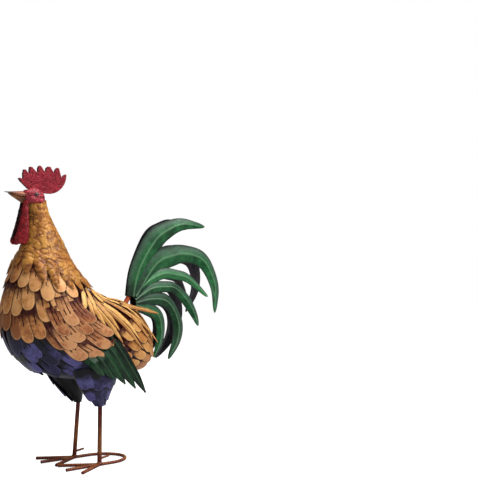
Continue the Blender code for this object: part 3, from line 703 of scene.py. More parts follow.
# %% Rump feathers
RUMP_ROWS = [(98, 11, 0.735, 34), (102, 12, 0.795, 38), (108, 12, 0.855, 38), (112, 10, 0.92, 36)]


def across_back(side, count, share):
    """Places from one side over the back to the other."""
    return [(side * ((k + 0.5) / count * 2 - 1), share) for k in range(count)]


for number, (side, count, share, length) in enumerate(RUMP_ROWS, 1):
    tabs = row_tabs(across_back(side, count, share), length, 21, tip_lift=3.6, both=False)
    row = tab_object(f"rump_feathers_{number}_detailed", SMALL_TAB, body_form, tabs)
    dress(row, [RUMP_PAINT, CUT_EDGE_AND_SHADE], [f"rump_feathers_{number}"])

# %% [markdown]
# The thighs are mirror images, but each side draws its own random twists. Every row
# lists its places, the length and width of its tabs, and the lift of their tips.

# %% Thigh feathers
THIGH_ROWS = [
    ([(40, 0.50), (62, 0.55), (84, 0.52), (106, 0.56), (128, 0.51), (150, 0.53)], 38, 20, 3.4),
    ([(24, 0.73), (52, 0.76), (80, 0.72), (108, 0.77), (136, 0.73), (162, 0.75)], 34, 15, 2.8),
    ([(20, 0.93), (55, 0.94), (90, 0.92), (125, 0.95), (160, 0.93)], 30, 7.5, 0.9),
]
for number, (places, length, width, lift) in enumerate(THIGH_ROWS, 1):
    for side in ("left", "right"):
        tabs = row_tabs(places, length, width, tip_lift=lift, both=False, step=0.5)
        row = tab_object(f"thigh_feathers_{number}_{side}_detailed", SMALL_TAB, thigh_form,
                         tabs, mirrored=side == "right")
        dress(row, [BLUE_PAINT, BLUE_EDGE_AND_SHADE], [f"thigh_feathers_{number}_{side}"])

# %% [markdown]
# The wing coverts lie over the thick wing plate, so their roots are higher. Their
# master tab has two slits. The last number of a row is the share that shows.

# %% Wing coverts
WING_ROWS = [
    ([(84, 0.557), (95, 0.592), (99, 0.53), (106, 0.603), (112, 0.555), (117, 0.613)],
     54, 7.1, 0.9),
    ([(84, 0.65), (96, 0.684), (109, 0.705), (119, 0.67)], 64, 8.2, 0.74),
]
for number, (places, length, lift, shown) in enumerate(WING_ROWS, 1):
    for side in ("left", "right"):
        tabs = row_tabs(places, length, 23.5, root_lift=4.8, tip_lift=lift, both=False,
                        step=0.8, spread=4)
        row = tab_object(f"wing_coverts_{number}_{side}_detailed", WING_TAB, body_form,
                         tabs, mirrored=side == "right", shown=shown)
        dress(row, [WING_PAINT, CUT_EDGE_AND_SHADE], [f"wing_coverts_{number}_{side}"])

# %% [markdown]
# ## The beaten shell under the feathers
# Between the feathers the shell itself shows as dark red-brown gaps, and under the tail
# it is bare. Its dark red-brown is partly painted shade for those gaps. It is a smooth
# closed form, so a grid over the formula gives it directly, with a cap of faces at each
# end. The same loft closes beaks, wattles and bars later on.

# %% Body shell and thighs
def loft(name, rings):
    """A closed skin through rings of points."""
    points = np.concatenate(rings)
    columns = len(rings[0])
    faces = grid_faces(len(rings), columns, closed=True)
    faces += [tuple(range(columns))[::-1], tuple(range(len(points) - columns, len(points)))]
    obj = add_object(name, points, faces)
    face_outward(obj)
    return obj


def closed_form(name, form, rows, columns):
    """The whole surface of a form, closed at both ends."""
    turn = np.linspace(0, 2 * np.pi, columns, endpoint=False)
    return loft(name, [form(turn, np.full(columns, v)) for v in np.linspace(0, 1, rows)])


def painted_part(material, tree, shader, paint, axis, full, none, colour):
    """Another colour by the size of a coordinate of the statue: all of it at the value
    full, and nothing of it at the value none."""
    far = math_node(tree, "ABSOLUTE", split(tree, object_place(tree))[axis])
    mask = ramp(tree, far, none, full)
    tree.links.new(mix(tree, mask, paint.outputs["Color"], linear(*colour)),
                   shader.inputs["Base Color"])
    return material


# Dark red-brown with dark wash, kept dark as painted shade in the gaps between feathers.
SHELL_WASH_AND_SHADE = start_paint("shell wash and shade", (126, 58, 40), (88, 36, 28), (40, 18, 22), wash=0.8)
SHELL_PAINT = painted_part(*SHELL_WASH_AND_SHADE, "Z", 0.195, 0.215, (26, 25, 46))
THIGH_BLUE = start_paint("thigh blue", (60, 57, 96), (36, 34, 64), (14, 14, 28), wash=0.8)
THIGH_PAINT = painted_part(*THIGH_BLUE, "Y", 0.042, 0.047, (2, 2, 3))
dress(closed_form("body_shell_detailed", body_form, 90, 96), [SHELL_PAINT],
      ["body_shell"])
for side, sign in (("left", 1), ("right", -1)):
    thigh = closed_form(f"thigh_{side}_detailed",
                        lambda u, v: thigh_form(u, v) * (1, sign, 1), 40, 48)
    dress(thigh, [THIGH_PAINT], [f"thigh_{side}"])

# %% [markdown]
# ## Beaten relief
# The neck, comb, head and wattles are hammered: soft pillows with creases between them.
# A smooth noise gives that pattern. Wherever it crosses zero a crease runs, and the
# places between stand up. The script presses the points of a dense mesh in by it, and
# keeps the crease as a value on the points, so that dark wash lies in the creases.

# %% Hammered relief
CREASE_WIDTH = 0.36
WIDE_SHARE = 0.62
FINE_SCALE = 2.1


def hammer(obj, cell, depth, stretch=(1, 1, 1), share=1.0):
    """Presses creases into a mesh, about cell metres apart and depth deep. share is how
    much of the depth each point takes."""
    mesh = obj.data
    crease = np.zeros(len(mesh.vertices))
    for k, vert in enumerate(mesh.vertices):
        place = Vector(a * b for a, b in zip(vert.co, stretch)) / cell
        place += noise.noise_vector(place * 0.6) * 0.5
        wide = min(1.0, abs(noise.noise(place)) / CREASE_WIDTH)
        fine = min(1.0, abs(noise.noise(place * FINE_SCALE)) / CREASE_WIDTH)
        crease[k] = 1 - (WIDE_SHARE * wide + (1 - WIDE_SHARE) * fine)
    normals = np.array([vert.normal for vert in mesh.vertices])
    points = np.array([vert.co for vert in mesh.vertices])
    points -= normals * (depth * crease * share)[:, None]
    mesh.vertices.foreach_set("co", points.ravel())
    add_values(mesh, "crease", crease)
    mesh.update()


def beaten_paint(name, light, main, dark, crease, wash=0.5, strength=0.85, scale=1.0):
    """Brushed paint with dark wash in the creases of a hammered piece."""
    material, tree, shader, paint = start_paint(name, light, main, dark, wash=wash, scale=scale)
    cloud = cloud_noise(tree, object_place(tree), 40.0, 3.0)
    deep = ramp(tree, attribute(tree, "crease"), 0.2, 0.8, 0.0, strength)
    dirty = math_node(tree, "MULTIPLY", deep, ramp(tree, cloud, 0.34, 0.58, 0.15, 1.0))
    tree.links.new(mix(tree, dirty, paint.outputs["Color"], linear(*crease)),
                   shader.inputs["Base Color"])
    return material


print("a crease is narrower than a noise value of", CREASE_WIDTH)

# %% [markdown]
# ## The neck cape
# The cape is one beaten cone round the neck. Its lower edge is cut into long pointed
# fingers, each puffed along its middle, with dark notches between them. It is built as
# a grid that is shared down to the notches and then splits into one narrowing grid for
# each finger.

# %% Neck cape
FINGER_TIPS = [(0, 0.385), (22, 0.385), (43, 0.38), (64, 0.37), (78, 0.35), (99, 0.335),
               (116, 0.30), (144, 0.247), (180, 0.215)]
NOTCHES = [(11, 0.325), (33, 0.32), (55, 0.305), (74, 0.285), (93, 0.25), (111, 0.235),
           (135, 0.188), (163, 0.168)]
FINGER_COLUMNS = 16
CAPE_ROWS = 96
CAPE_START = 0.02
CAPE_LIFTS = (1.2, 5.6, 7.8)
PUFF = 3.4
FINGER_ROWS = 26
FINGER_HAMMER = 0.3
HEAD_SEAT = 464.5
COLLAR_RISE = 8 * MM
CREASE_CELL = 13 * MM
CREASE_DEPTH = 1.9 * MM


def all_round(places):
    """The places of the left side and their mirror images, once round the neck."""
    return places + [(360 - angle, share) for angle, share in places[::-1] if 0 < angle < 180]


def cape_mesh():
    """Points and faces of the cape, and how much of the hammering each point takes.
    CAPE_LIFTS are the heights over the body at the top, the notches and the tips."""
    start, notch_lift, tip_lift = CAPE_LIFTS
    tips = np.array(all_round(FINGER_TIPS))
    notches = np.array(all_round(NOTCHES))
    before = np.roll(notches, 1, axis=0) - [[360, 0]] * (np.arange(len(notches)) == 0)[:, None]
    across = np.arange(FINGER_COLUMNS) / FINGER_COLUMNS
    top = np.concatenate([a + (b - a) * across[:, None] for a, b in zip(before, notches)])
    turn, notch_share = np.radians(top[:, 0]), top[:, 1]
    puff = np.tile(np.sin(across * np.pi) ** 0.7, len(tips))
    collar = lifted(body_form, turn, notch_share * 0, 1.2 * MM)
    collar[:, 2] = (HEAD_SEAT - 0.4) * MM + COLLAR_RISE * np.clip(np.cos(turn), 0, 1) ** 0.7
    rows = [collar]
    for share in np.linspace(0, 1, CAPE_ROWS):
        if share < CAPE_START:
            continue
        rise = start + (notch_lift - start) * share + PUFF * puff * max(0, share - 0.7) / 0.3
        rows.append(lifted(body_form, turn, notch_share * share, rise * MM))
    columns = len(turn)
    faces = grid_faces(len(rows), columns, closed=True)
    points = list(np.concatenate(rows))
    base = (len(rows) - 1) * columns
    side = np.linspace(-1, 1, FINGER_COLUMNS + 1)
    for k, (tip, low, high) in enumerate(zip(tips, before, notches)):
        above = [base + (k * FINGER_COLUMNS + j) % columns for j in range(FINGER_COLUMNS + 1)]
        edge = low + (high - low) * (side[:, None] + 1) / 2
        middle = (low[0] + high[0]) / 2
        for share in np.linspace(0, 1, FINGER_ROWS + 1)[1:] ** 1.15:
            width = max(0.06, (1 - share) ** 0.6)
            angle = middle + (tip[0] - middle) * share + (edge[:, 0] - middle) * width
            v = edge[:, 1] + (tip[1] - edge[:, 1]) * share
            arch = np.cos(side * np.pi / 2) ** 0.8 * (1 - share * 0.6)
            rise = notch_lift + (tip_lift - notch_lift) * share + PUFF * arch
            below = list(range(len(points), len(points) + len(side)))
            points += list(lifted(body_form, np.radians(angle), v, rise * MM))
            faces += [(above[j], above[j + 1], below[j + 1], below[j])
                      for j in range(FINGER_COLUMNS)]
            above = below
    hammered = np.full(len(points), 1.0)
    hammered[len(rows) * columns:] = FINGER_HAMMER
    return np.array(points), faces, hammered


CAPE_PAINT = beaten_paint("neck gold", (206, 150, 72), (174, 113, 51), (114, 62, 36),
                          (88, 42, 34), wash=0.75, strength=0.8)
cape_points, cape_faces, cape_share = cape_mesh()
cape = add_object("neck_cape_detailed", cape_points, cape_faces)
hammer(cape, CREASE_CELL, CREASE_DEPTH, stretch=(0.9, 0.9, 1.25), share=cape_share)
apply_modifier(cape, "SOLIDIFY", thickness=SHEET, offset=-1)
dress(cape, [CAPE_PAINT], ["neck_cape"], angle=60)

# %% [markdown]
# ## Folded feathers
# The saddle strips, the wing's long feathers and the tail sickles are all one idea: a
# narrow sheet with a fold along its middle that follows a curve. So one helper sweeps a
# roof-shaped profile along a path, with a width that changes on the way.

# %% Sweeping a folded feather
PROFILE = np.array([-1, -0.93, -0.6, -0.3, -0.07, 0, 0.07, 0.3, 0.6, 0.93, 1])


def ribbon(path, normal, half, ridge, cup=0.0):
    """Points of a folded strip. ridge is the height of the fold and cup how much the
    sides sag below a straight roof."""
    along = np.gradient(path, axis=0)
    along /= np.linalg.norm(along, axis=1, keepdims=True)
    across = np.cross(normal, along)
    across /= np.linalg.norm(across, axis=1, keepdims=True)
    up = np.cross(along, across)
    side = PROFILE[None, :, None]
    sag = cup * abs(side) * (1 - abs(side)) * 4
    roof = ridge[:, None, None] * (1 - abs(side) - sag)
    return path[:, None] + across[:, None] * half[:, None, None] * side + up[:, None] * roof


def ribbon_object(name, ribbons, thickness, turned=False):
    """One mesh of several strips, each with its own tone, given wall thickness.
    turned swaps which long edge counts as the upper one."""
    points, faces, uv, tones = [], [], [], []
    columns = len(PROFILE)
    for grid in ribbons:
        rows = len(grid)
        faces += grid_faces(rows, columns, start=sum(len(p) for p in points))
        points.append(grid.reshape(-1, 3))
        share = np.repeat(np.linspace(1, 0, rows), columns)
        side = np.tile(PROFILE, rows)
        uv.append(np.stack([(-side if turned else side) / 2 + 0.5, share], 1))
        tones.append(np.full(rows * columns, RANDOM.random()))
    values = {"tone": np.concatenate(tones)}
    obj = add_object(name, np.concatenate(points), faces, np.concatenate(uv), values)
    apply_modifier(obj, "SOLIDIFY", thickness=thickness, offset=-1)
    return obj


def folded_paint(name, light, main, dark, fold, edge, upper=None, wash=0.5, fold_highlight_strength=0.7,
                 edge_strength=0.8):
    """Paint for a folded strip: a pale painted highlight on the fold, and dark edges and
    root that are partly paint and partly painted shade where strips meet and tuck under.
    upper is a duller colour painted as sheen over the upper half, which faces the light."""
    material, tree, shader, paint = start_paint(name, light, main, dark, wash=wash,
                                                shade=tone_shade)
    across, along = feather_place(tree)
    off = math_node(tree, "ABSOLUTE", math_node(tree, "SUBTRACT", across, 0.5))
    uneven = wobble(tree, 90.0, 0.25)
    colour = paint.outputs["Color"]
    if upper:
        # Painted sheen: a duller, greyer colour over the upper half, which faces the light.
        painted_sheen = ramp(tree, math_node(tree, "ADD", across, uneven), 0.5, 0.88, 0.0, 0.85)
        colour = mix(tree, painted_sheen, colour, linear(*upper))
    # Dark edges and root: partly paint, partly painted shade where strips meet and tuck under.
    for place, low, high in ((off, 0.3, 0.52), (along, 0.8, 1.0)):
        border = ramp(tree, math_node(tree, "ADD", place, uneven), low, high, 0.0, edge_strength)
        colour = mix(tree, border, colour, linear(*edge))
    # Painted highlight: a pale line along the fold.
    colour = mix(tree, ramp(tree, off, 0.07, 0.0, 0.0, fold_highlight_strength), colour, linear(*fold))
    tree.links.new(colour, shader.inputs["Base Color"])
    return material


print("points across a folded strip:", len(PROFILE))

# %% [markdown]
# ### Strips over the back
# Long thin strips hang over the back in three rows. Each one has the angle and the share
# of its root and then of its tip, and every strip off the middle is repeated on the
# other side. Three more strips bend away from the body and follow places of their own.

# %% Saddle and hackle strips
STRIP_ROWS = {
    "hackle_strips": [(0, 0.40, 0, 0.50), (12, 0.39, 17, 0.50), (24, 0.38, 33, 0.51),
                      (37, 0.37, 50, 0.50), (50, 0.36, 66, 0.50), (60, 0.36, 82, 0.49)],
    "saddle_strips_1": [(4, 0.44, 9, 0.66), (14, 0.44, 23, 0.63), (24, 0.43, 37, 0.68),
                        (34, 0.42, 50, 0.655), (44, 0.42, 63, 0.69), (51, 0.42, 74, 0.665),
                        (58, 0.41, 80, 0.60), (61, 0.41, 81, 0.537)],
    "saddle_strips_2": [(7, 0.50, 14, 0.74), (17, 0.50, 28, 0.80), (27, 0.49, 40, 0.75),
                        (37, 0.48, 53, 0.81), (46, 0.47, 66, 0.76), (53, 0.46, 73, 0.81),
                        (60, 0.46, 83, 0.70)],
}
STRIP_LIFTS = {"hackle_strips": (3.6, 4.8), "saddle_strips_1": (2.4, 5.4),
               "saddle_strips_2": (1.4, 6.2)}
SECOND_LIFT = 0.7
FREE_STRIPS = [((40, -42, 290), (66, -42, 282), (103, -38, 275), (135, -33, 268)),
               ((36, -58, 276), (65, -55, 262), (97, -50, 241), (126, -43, 214)),
               ((-34, -22, 336), (-27, -25, 328), (-20, -26, 321), (-14, -27, 314))]
STRIP_POINTS = 26


def saddle_strip(root_angle, root_share, tip_angle, tip_share, lifts, width):
    """A strip that lies over the body from its root to its tip."""
    t = np.linspace(0, 1, STRIP_POINTS)
    u = np.radians(root_angle + (tip_angle - root_angle) * t)
    v = root_share + (tip_share - root_share) * t
    lift = (lifts[0] + (lifts[1] - lifts[0]) * t ** 1.4) * MM
    half = width / 2 * np.clip((1 - t) * 3.2, 0.03, 1) ** 0.8 * (0.7 + 0.3 * np.clip(t * 4, 0, 1))
    return ribbon(lifted(body_form, u, v, lift), outward(body_form, u, v), half, half * 0.36)


def free_strip(places, width):
    """A strip that bends away from the body through some places."""
    t = np.linspace(0, 1, STRIP_POINTS)
    path = spline([at(*place) for place in places], t)
    half = width / 2 * np.clip((1 - t) * 3.2, 0.03, 1) ** 0.8
    return ribbon(path, np.tile([0.2, -0.9, 0.6], (STRIP_POINTS, 1)), half, half * 0.3)


STRIP_PAINT = folded_paint("saddle yellow", (232, 182, 108), (208, 150, 82), (136, 76, 42),
                           (242, 202, 126), (80, 30, 28), wash=0.6, edge_strength=0.9)
for node, strips in STRIP_ROWS.items():
    grids = []
    for k, (root_angle, root_share, tip_angle, tip_share) in enumerate(strips):
        for sign in (1, -1) if root_angle else (1,):
            lifts = [lift + SECOND_LIFT * (k % 2) for lift in STRIP_LIFTS[node]]
            end = tip_share + RANDOM.uniform(-0.012, 0.012)
            width = RANDOM.uniform(9.5, 12) * MM
            grids.append(saddle_strip(sign * root_angle, root_share, sign * tip_angle, end,
                                      lifts, width))
    if node == "saddle_strips_2":
        for places in FREE_STRIPS:
            grids.append(free_strip(places, 9 * MM))
    row = ribbon_object(node + "_detailed", grids, SHEET)
    dress(row, [STRIP_PAINT], [node])

# %% [markdown]
# ## Tail
# The tail is two stamped plates of six sickle feathers, green outside and nearly black
# inside. Each sickle lists the places its middle line passes, as x, z and width, and then
# how far its tip stands from the middle plane, all in millimetres. The fold stands up
# like a roof ridge, and the tip is blunt.

# %% Tail sickles
TAIL_FEATHERS = [
    ([(93, 300, 22), (106, 351, 32), (141, 409, 42), (170, 432, 34), (204, 445, 24),
      (253, 442, 7)], 25),
    ([(99, 300, 24), (145, 363, 42), (183, 381, 42), (216, 386, 35), (251, 377, 33),
      (270, 350, 27), (276.5, 313, 20), (264, 268, 7)], 45),
    ([(99, 301, 22), (122, 326, 24), (160, 345, 22), (192, 344, 20), (220, 335, 17),
      (256, 300, 6)], 33),
    ([(97, 294, 22), (136, 316, 22), (169, 320, 22), (192, 317, 20), (215, 294, 22),
      (229, 265, 16), (234, 242, 6)], 30),
    ([(98, 289, 20), (139, 296, 24), (171, 293, 26), (191, 273, 22), (200, 243, 25),
      (192, 212, 20), (168, 179, 6)], 20),
    ([(98, 285, 18), (131, 277, 24), (153, 265, 24), (160, 242, 21), (155, 213, 16),
      (138, 183, 6)], 14),
]
TAIL_SHEET = 1.2 * MM
TAIL_ROOT_OUT = 4.9
TAIL_RIDGE = 5
TAIL_STEP = 0.4
FRONT_CLOSE = 0.75
SICKLE_POINTS = 56
# upper is the painted sheen on the upper halves of the tail, fold the painted highlight on the fold.
TAIL_PAINT = folded_paint("tail green", (46, 114, 64), (24, 86, 45), (12, 46, 24), (116, 158, 120),
                          (20, 26, 26), upper=(70, 96, 79), wash=0.9, fold_highlight_strength=0.5)
TAIL_INSIDE = start_paint("tail inside", (52, 46, 52), (30, 27, 32), (14, 13, 16), wash=0.7)[0]


def sickle(stations, tip_out, side, step, front):
    """One tail feather. The front one of each plate bends its front edge to the middle."""
    t = np.linspace(0, 1, SICKLE_POINTS)
    x, z, width = spline(stations, t).T
    walked = np.concatenate([[0], np.cumsum(np.hypot(np.diff(x), np.diff(z)))])
    share = walked / walked[-1]
    dip = 1 - 0.7 * np.sin(np.pi * share ** 0.7)
    out = TAIL_ROOT_OUT * dip + (tip_out - TAIL_ROOT_OUT) * share ** 2.4
    path = np.stack([x * MM + FEET_X, side * (out + step) * MM, z * MM], 1)
    half = width / 2 * MM * np.sqrt(1 - np.clip((share - 0.95) / 0.052, 0, 1) ** 2)
    wide = np.minimum(1, width / width.max() * 1.4)
    ridge = TAIL_RIDGE * MM * wide * np.clip((1 - share) * 6, 0.2, 1)
    normal = np.tile([0.0, side, 0.0], (len(t), 1))
    grid = ribbon(path, normal, half, ridge, cup=0.12)
    if front:
        outer = np.clip(-side * PROFILE, 0, 1) * np.clip(1.3 - share[:, None] * 1.6, 0, 1)
        grid[:, :, 1] *= 1 - outer * FRONT_CLOSE
    return grid


def two_sided(obj, side, inside_slot=1):
    """Gives the faces that look towards the middle the second material."""
    for face in obj.data.polygons:
        if face.normal.y * side < -0.05:
            face.material_index = inside_slot


last = len(TAIL_FEATHERS) - 1
for side, sign in (("left", -1), ("right", 1)):
    sickles = [sickle(stations, tip_out, sign, TAIL_STEP * (last - k), k == 0)
               for k, (stations, tip_out) in enumerate(TAIL_FEATHERS)]
    plate = ribbon_object(f"tail_plate_{side}_detailed", sickles, TAIL_SHEET, turned=sign > 0)
    dress(plate, [TAIL_PAINT, TAIL_INSIDE], [f"tail_plate_{side}"])
    two_sided(plate, sign)

# %% [markdown]
# ### Wing plate and long feathers
# The wing plate is a patch of the body surface with more thickness. The five long dark
# green feathers start under it and lie side by side, from a line of roots to a line of
# tips. The right wing mirrors the left.

# %% Wing plate and long wing feathers
WING_FRONT = [(78, 0.475), (91, 0.445), (102, 0.45), (108, 0.485), (114, 0.545)]
WING_REAR = 0.645
WING_PLATE = 3.5 * MM
PRIMARY_ROOTS = ((13, 80, 227), (-47, 80, 188))
PRIMARY_TIPS = ((82, 82, 123), (-26, 79, 169))
PRIMARY_COUNT = 5
PRIMARY_TUCK = 0.3
PRIMARY_SINK = 15 * MM
PRIMARY_PAINT = folded_paint("wing green", (24, 62, 34), (9, 33, 17), (3, 15, 8), (66, 96, 68),
                             (4, 12, 8), wash=0.7, fold_highlight_strength=0.5)
PLATE_ROWS = 24
PLATE_COLUMNS = 30
PRIMARY_POINTS = 48
places = np.linspace(0, len(WING_FRONT) - 1, PLATE_COLUMNS)
angles, shares = np.array(WING_FRONT).T
turn = np.radians(np.interp(places, range(len(WING_FRONT)), angles))
front = np.interp(places, range(len(WING_FRONT)), shares)


def long_feather(share, sign):
    """One long wing feather, share of the way from the uppermost to the lowest."""
    root, tip = ((1 - share) * at(*high) + share * at(*low)
                 for high, low in (PRIMARY_ROOTS, PRIMARY_TIPS))
    t = np.linspace(-PRIMARY_TUCK, 1, PRIMARY_POINTS)[:, None]
    path = (root * (1 - t) + tip * t) * (1, sign, 1)
    t = t[:, 0]
    sunk = np.clip((0.3 - t) / (0.3 + PRIMARY_TUCK), 0, 1) ** 1.3
    path[:, 1] -= sign * PRIMARY_SINK * sunk
    half = (10.5 - 3.5 * t) * MM * np.clip((1 - t) * 3.4, 0.1, 1) ** 0.6
    normal = np.tile([0.0, float(sign), 0.0], (PRIMARY_POINTS, 1))
    return ribbon(path, normal, half, half * 0.28, cup=0.1)


for side, sign in (("left", -1), ("right", 1)):
    rows = [lifted(body_form, turn, front + (WING_REAR - front) * share,
                   np.full(PLATE_COLUMNS, 1.0 * MM)) for share in np.linspace(0, 1, PLATE_ROWS)]
    plate = add_object(f"wing_plate_{side}_detailed", np.concatenate(rows) * (1, -sign, 1),
                       grid_faces(PLATE_ROWS, PLATE_COLUMNS))
    apply_modifier(plate, "SOLIDIFY", thickness=WING_PLATE, offset=-sign)
    dress(plate, [SHELL_PAINT], [f"wing_plate_{side}"])
    grids = [long_feather((k + 0.5) / PRIMARY_COUNT, sign) for k in range(PRIMARY_COUNT)]
    row = ribbon_object(f"wing_primaries_{side}_detailed", grids, TAIL_SHEET)
    dress(row, [PRIMARY_PAINT], [f"wing_primaries_{side}"])

# %% [markdown]
# ## Head, comb and wattles
# These are cast or beaten lumps, dark red with a fine hammered skin. A lump is easiest
# as a few plain shapes joined, melted together by a voxel remesh, smoothed, and then
# hammered with small cells.

# %% Lump helpers
RED_PAINT = beaten_paint("comb red", (168, 44, 58), (138, 28, 42), (88, 12, 24),
                         (66, 8, 18), scale=1.6, wash=0.35, strength=0.5)
WATTLE_PAINT = beaten_paint("wattle red", (160, 34, 42), (124, 18, 26), (60, 8, 12),
                            (36, 4, 8), scale=1.6, strength=0.6)
# Painted light: the head red is a lighter copy of the comb red, since the head faces sideways and
# catches less light.
HEAD_PAINT = beaten_paint("head red", (200, 78, 90), (164, 52, 64), (84, 12, 24),
                          (54, 8, 16), scale=1.6, strength=0.7)
# Dark paint for the comb's edges, and as painted shade for the inner faces of the wattles.
DARK_EDGE_AND_SHADE_PAINT = start_paint("comb edge and wattle shade", (70, 26, 30), (36, 16, 18), (14, 10, 12), wash=0.6)[0]


def melt(obj, voxel, smooth=6):
    """Joins everything in the mesh into one skin and smooths it."""
    apply_modifier(obj, "REMESH", mode="VOXEL", voxel_size=voxel)
    apply_modifier(obj, "SMOOTH", iterations=smooth, factor=0.5)


def ellipsoid(name, middle, halves):
    """A scaled sphere with its place in its mesh."""
    deselect_all()
    bpy.ops.mesh.primitive_uv_sphere_add(segments=32, ring_count=20, radius=1)
    ball = bpy.context.object
    ball.name = name
    size = Matrix.Diagonal((*[half * MM for half in halves], 1))
    ball.data.transform(Matrix.Translation(Vector(at(*middle))) @ size)
    return ball


def join(objects):
    """All the objects as one, with the name of the first."""
    deselect_all()
    for obj in objects:
        obj.select_set(True)
    bpy.context.view_layer.objects.active = objects[0]
    bpy.ops.object.join()
    return objects[0]


print("paints for the beaten lumps:", RED_PAINT.name, WATTLE_PAINT.name, HEAD_PAINT.name)

# %% [markdown]
# The head is a large ellipsoid with a brow, two cheeks and two ear lobes melted into it.
# A plane cuts it off flat where it sits on the neck.

# %% Head
head = join([ellipsoid("head_detailed", (-112, 0, 475), (20.5, 15, 17)),
             ellipsoid("brow", (-124, 0, 481), (10, 10, 8)),
             *[ellipsoid("cheek", (-117, s * 11.5, 470.5), (9, 4.5, 6)) for s in (-1, 1)],
             *[ellipsoid("ear lobe", (-103, s * 12.2, 468.5), (6, 3.4, 5)) for s in (-1, 1)]])
melt(head, 0.8 * MM, 4)
edit_all(head, bpy.ops.mesh.bisect, plane_co=(0, 0, HEAD_SEAT * MM), plane_no=(0, 0, -1),
         clear_outer=True, use_fill=True)
hammer(head, 6 * MM, 0.7 * MM)
dress(head, [HEAD_PAINT], ["head"], angle=60)

# %% [markdown]
# The eyes are the only glossy parts, so their paint gets a full, smooth clear coat.

# %% Eyes
EYE_PAINT, _, eye_shader, _ = start_paint("eye black", (60, 50, 46), (26, 20, 20),
                                          (8, 6, 6), wash=0.3)
eye_shader.inputs["Coat Weight"].default_value = 1.0
eye_shader.inputs["Coat Roughness"].default_value = 0.05
for side, sign in (("left", -1), ("right", 1)):
    eye = ellipsoid(f"eye_{side}_detailed", (-114, sign * 14.4, 479), (3.6, 2.3, 2.9))
    dress(eye, [EYE_PAINT], [f"eye_{side}"])

# %% [markdown]
# The comb is its outline in the middle plane, as x and z in millimetres, filled and
# extruded. Melting rounds its edges, and faces that look to the front, the top or the
# rear take the darker paint of the edge.

# %% Comb
COMB_OUTLINE = [
    (-143, 506.5), (-140, 508), (-134, 505), (-134.5, 515), (-133, 523), (-129, 523),
    (-122, 515), (-122.5, 523), (-121.5, 529), (-117.5, 529), (-106, 519), (-106, 528),
    (-104, 532.6), (-100, 532.3), (-91, 521), (-90, 529), (-86.5, 533), (-82, 532.9),
    (-74, 522), (-72, 529), (-68.5, 532.6), (-64.5, 531.8), (-59, 515), (-55, 520),
    (-51, 522.5), (-49, 520), (-50.5, 510), (-54, 502), (-58, 496.5), (-63, 491.5),
    (-69, 487.5), (-74, 485.5), (-80, 484), (-92, 484), (-103, 486), (-115, 487),
    (-125, 490), (-134, 497), (-140, 503),
]
COMB_HALF = 3.0


def comb_plate():
    """The comb's outline filled and given thickness."""
    deselect_all()
    bpy.ops.mesh.primitive_circle_add(vertices=len(COMB_OUTLINE), radius=1,
                                      fill_type="NGON")
    comb = bpy.context.object
    comb.name = "comb_detailed"
    for vert, (x, z) in zip(comb.data.vertices, COMB_OUTLINE):
        vert.co = Vector(at(x, -COMB_HALF, z))
    edit_all(comb, bpy.ops.mesh.extrude_region_move,
             TRANSFORM_OT_translate={"value": (0, 2 * COMB_HALF * MM, 0)})
    face_outward(comb)
    return comb


comb = join([comb_plate(), ellipsoid("comb foot", (-113, 0, 489), (9, 3.6, 5))])
melt(comb, 0.7 * MM, 2)
hammer(comb, 4.5 * MM, 0.5 * MM)
dress(comb, [RED_PAINT, DARK_EDGE_AND_SHADE_PAINT], ["comb"], angle=60)
for face in comb.data.polygons:
    face.material_index = int(abs(face.normal.y) < 0.35)

# %% [markdown]
# The beak and the wattles are lofts. Beak sections give x, the top, the bottom and half
# the width. Wattle sections give x, the distance from the middle, the height, and half
# of both widths, and the whole ring is turned so that the wattle looks a little forward.

# %% Beak and wattles
BEAK_BRONZE = start_paint("beak bronze", (184, 122, 96), (132, 82, 60), (48, 34, 26), wash=0.9)
BEAK_PAINT_TOP = painted_part(*BEAK_BRONZE, "X", 0.222, 0.197, (74, 60, 42))
BEAK_PAINT_LOW = start_paint("beak brown", (132, 84, 52), (98, 58, 38), (42, 22, 18),
                             wash=0.7)[0]
UPPER_BEAK = [(-122, 485.5, 475, 8.5), (-131, 485, 475, 7.4), (-139, 484.2, 475.8, 5.8),
              (-152, 482.8, 478, 3.4), (-161, 482, 479.6, 1.9), (-166.9, 481.6, 480.4, 0.8)]
LOWER_BEAK = [(-122, 475.2, 462, 7.5), (-131, 475.2, 463.4, 6.2), (-138, 475.9, 466, 5),
              (-149, 477.6, 471.6, 3), (-160, 479.2, 477.6, 0.9)]
WATTLE = [(-130.5, 7.4, 468, 4, 1), (-131.2, 7.4, 458, 5.6, 2.4), (-132.8, 8.5, 446, 6.8, 3.2),
          (-134.8, 10, 426, 9, 4), (-138, 11, 409, 11.6, 4.5), (-140.3, 11.5, 399, 12.4, 4.2),
          (-141, 11.5, 393.5, 10.6, 3), (-141, 11.5, 391.3, 6.5, 1)]
WATTLE_TURN = 22


def beak_rings(sections, fold):
    """Kite-shaped rings: a ridge on one side and an open sheet edge on the other."""
    rings = []
    for x, top, low, half in spline(sections, np.linspace(0, 1, 24)):
        middle = top - (top - low) * fold
        upper = (top + middle) / 2 + 0.2
        right = [(half * 0.55, upper), (half, middle), (half * 0.5, low + 0.3)]
        left = [(-out, z) for out, z in right[::-1]]
        ring = [(0, top), *right, (0, low), *left]
        rings.append(np.array([at(x, out, z) for out, z in ring]))
    return rings


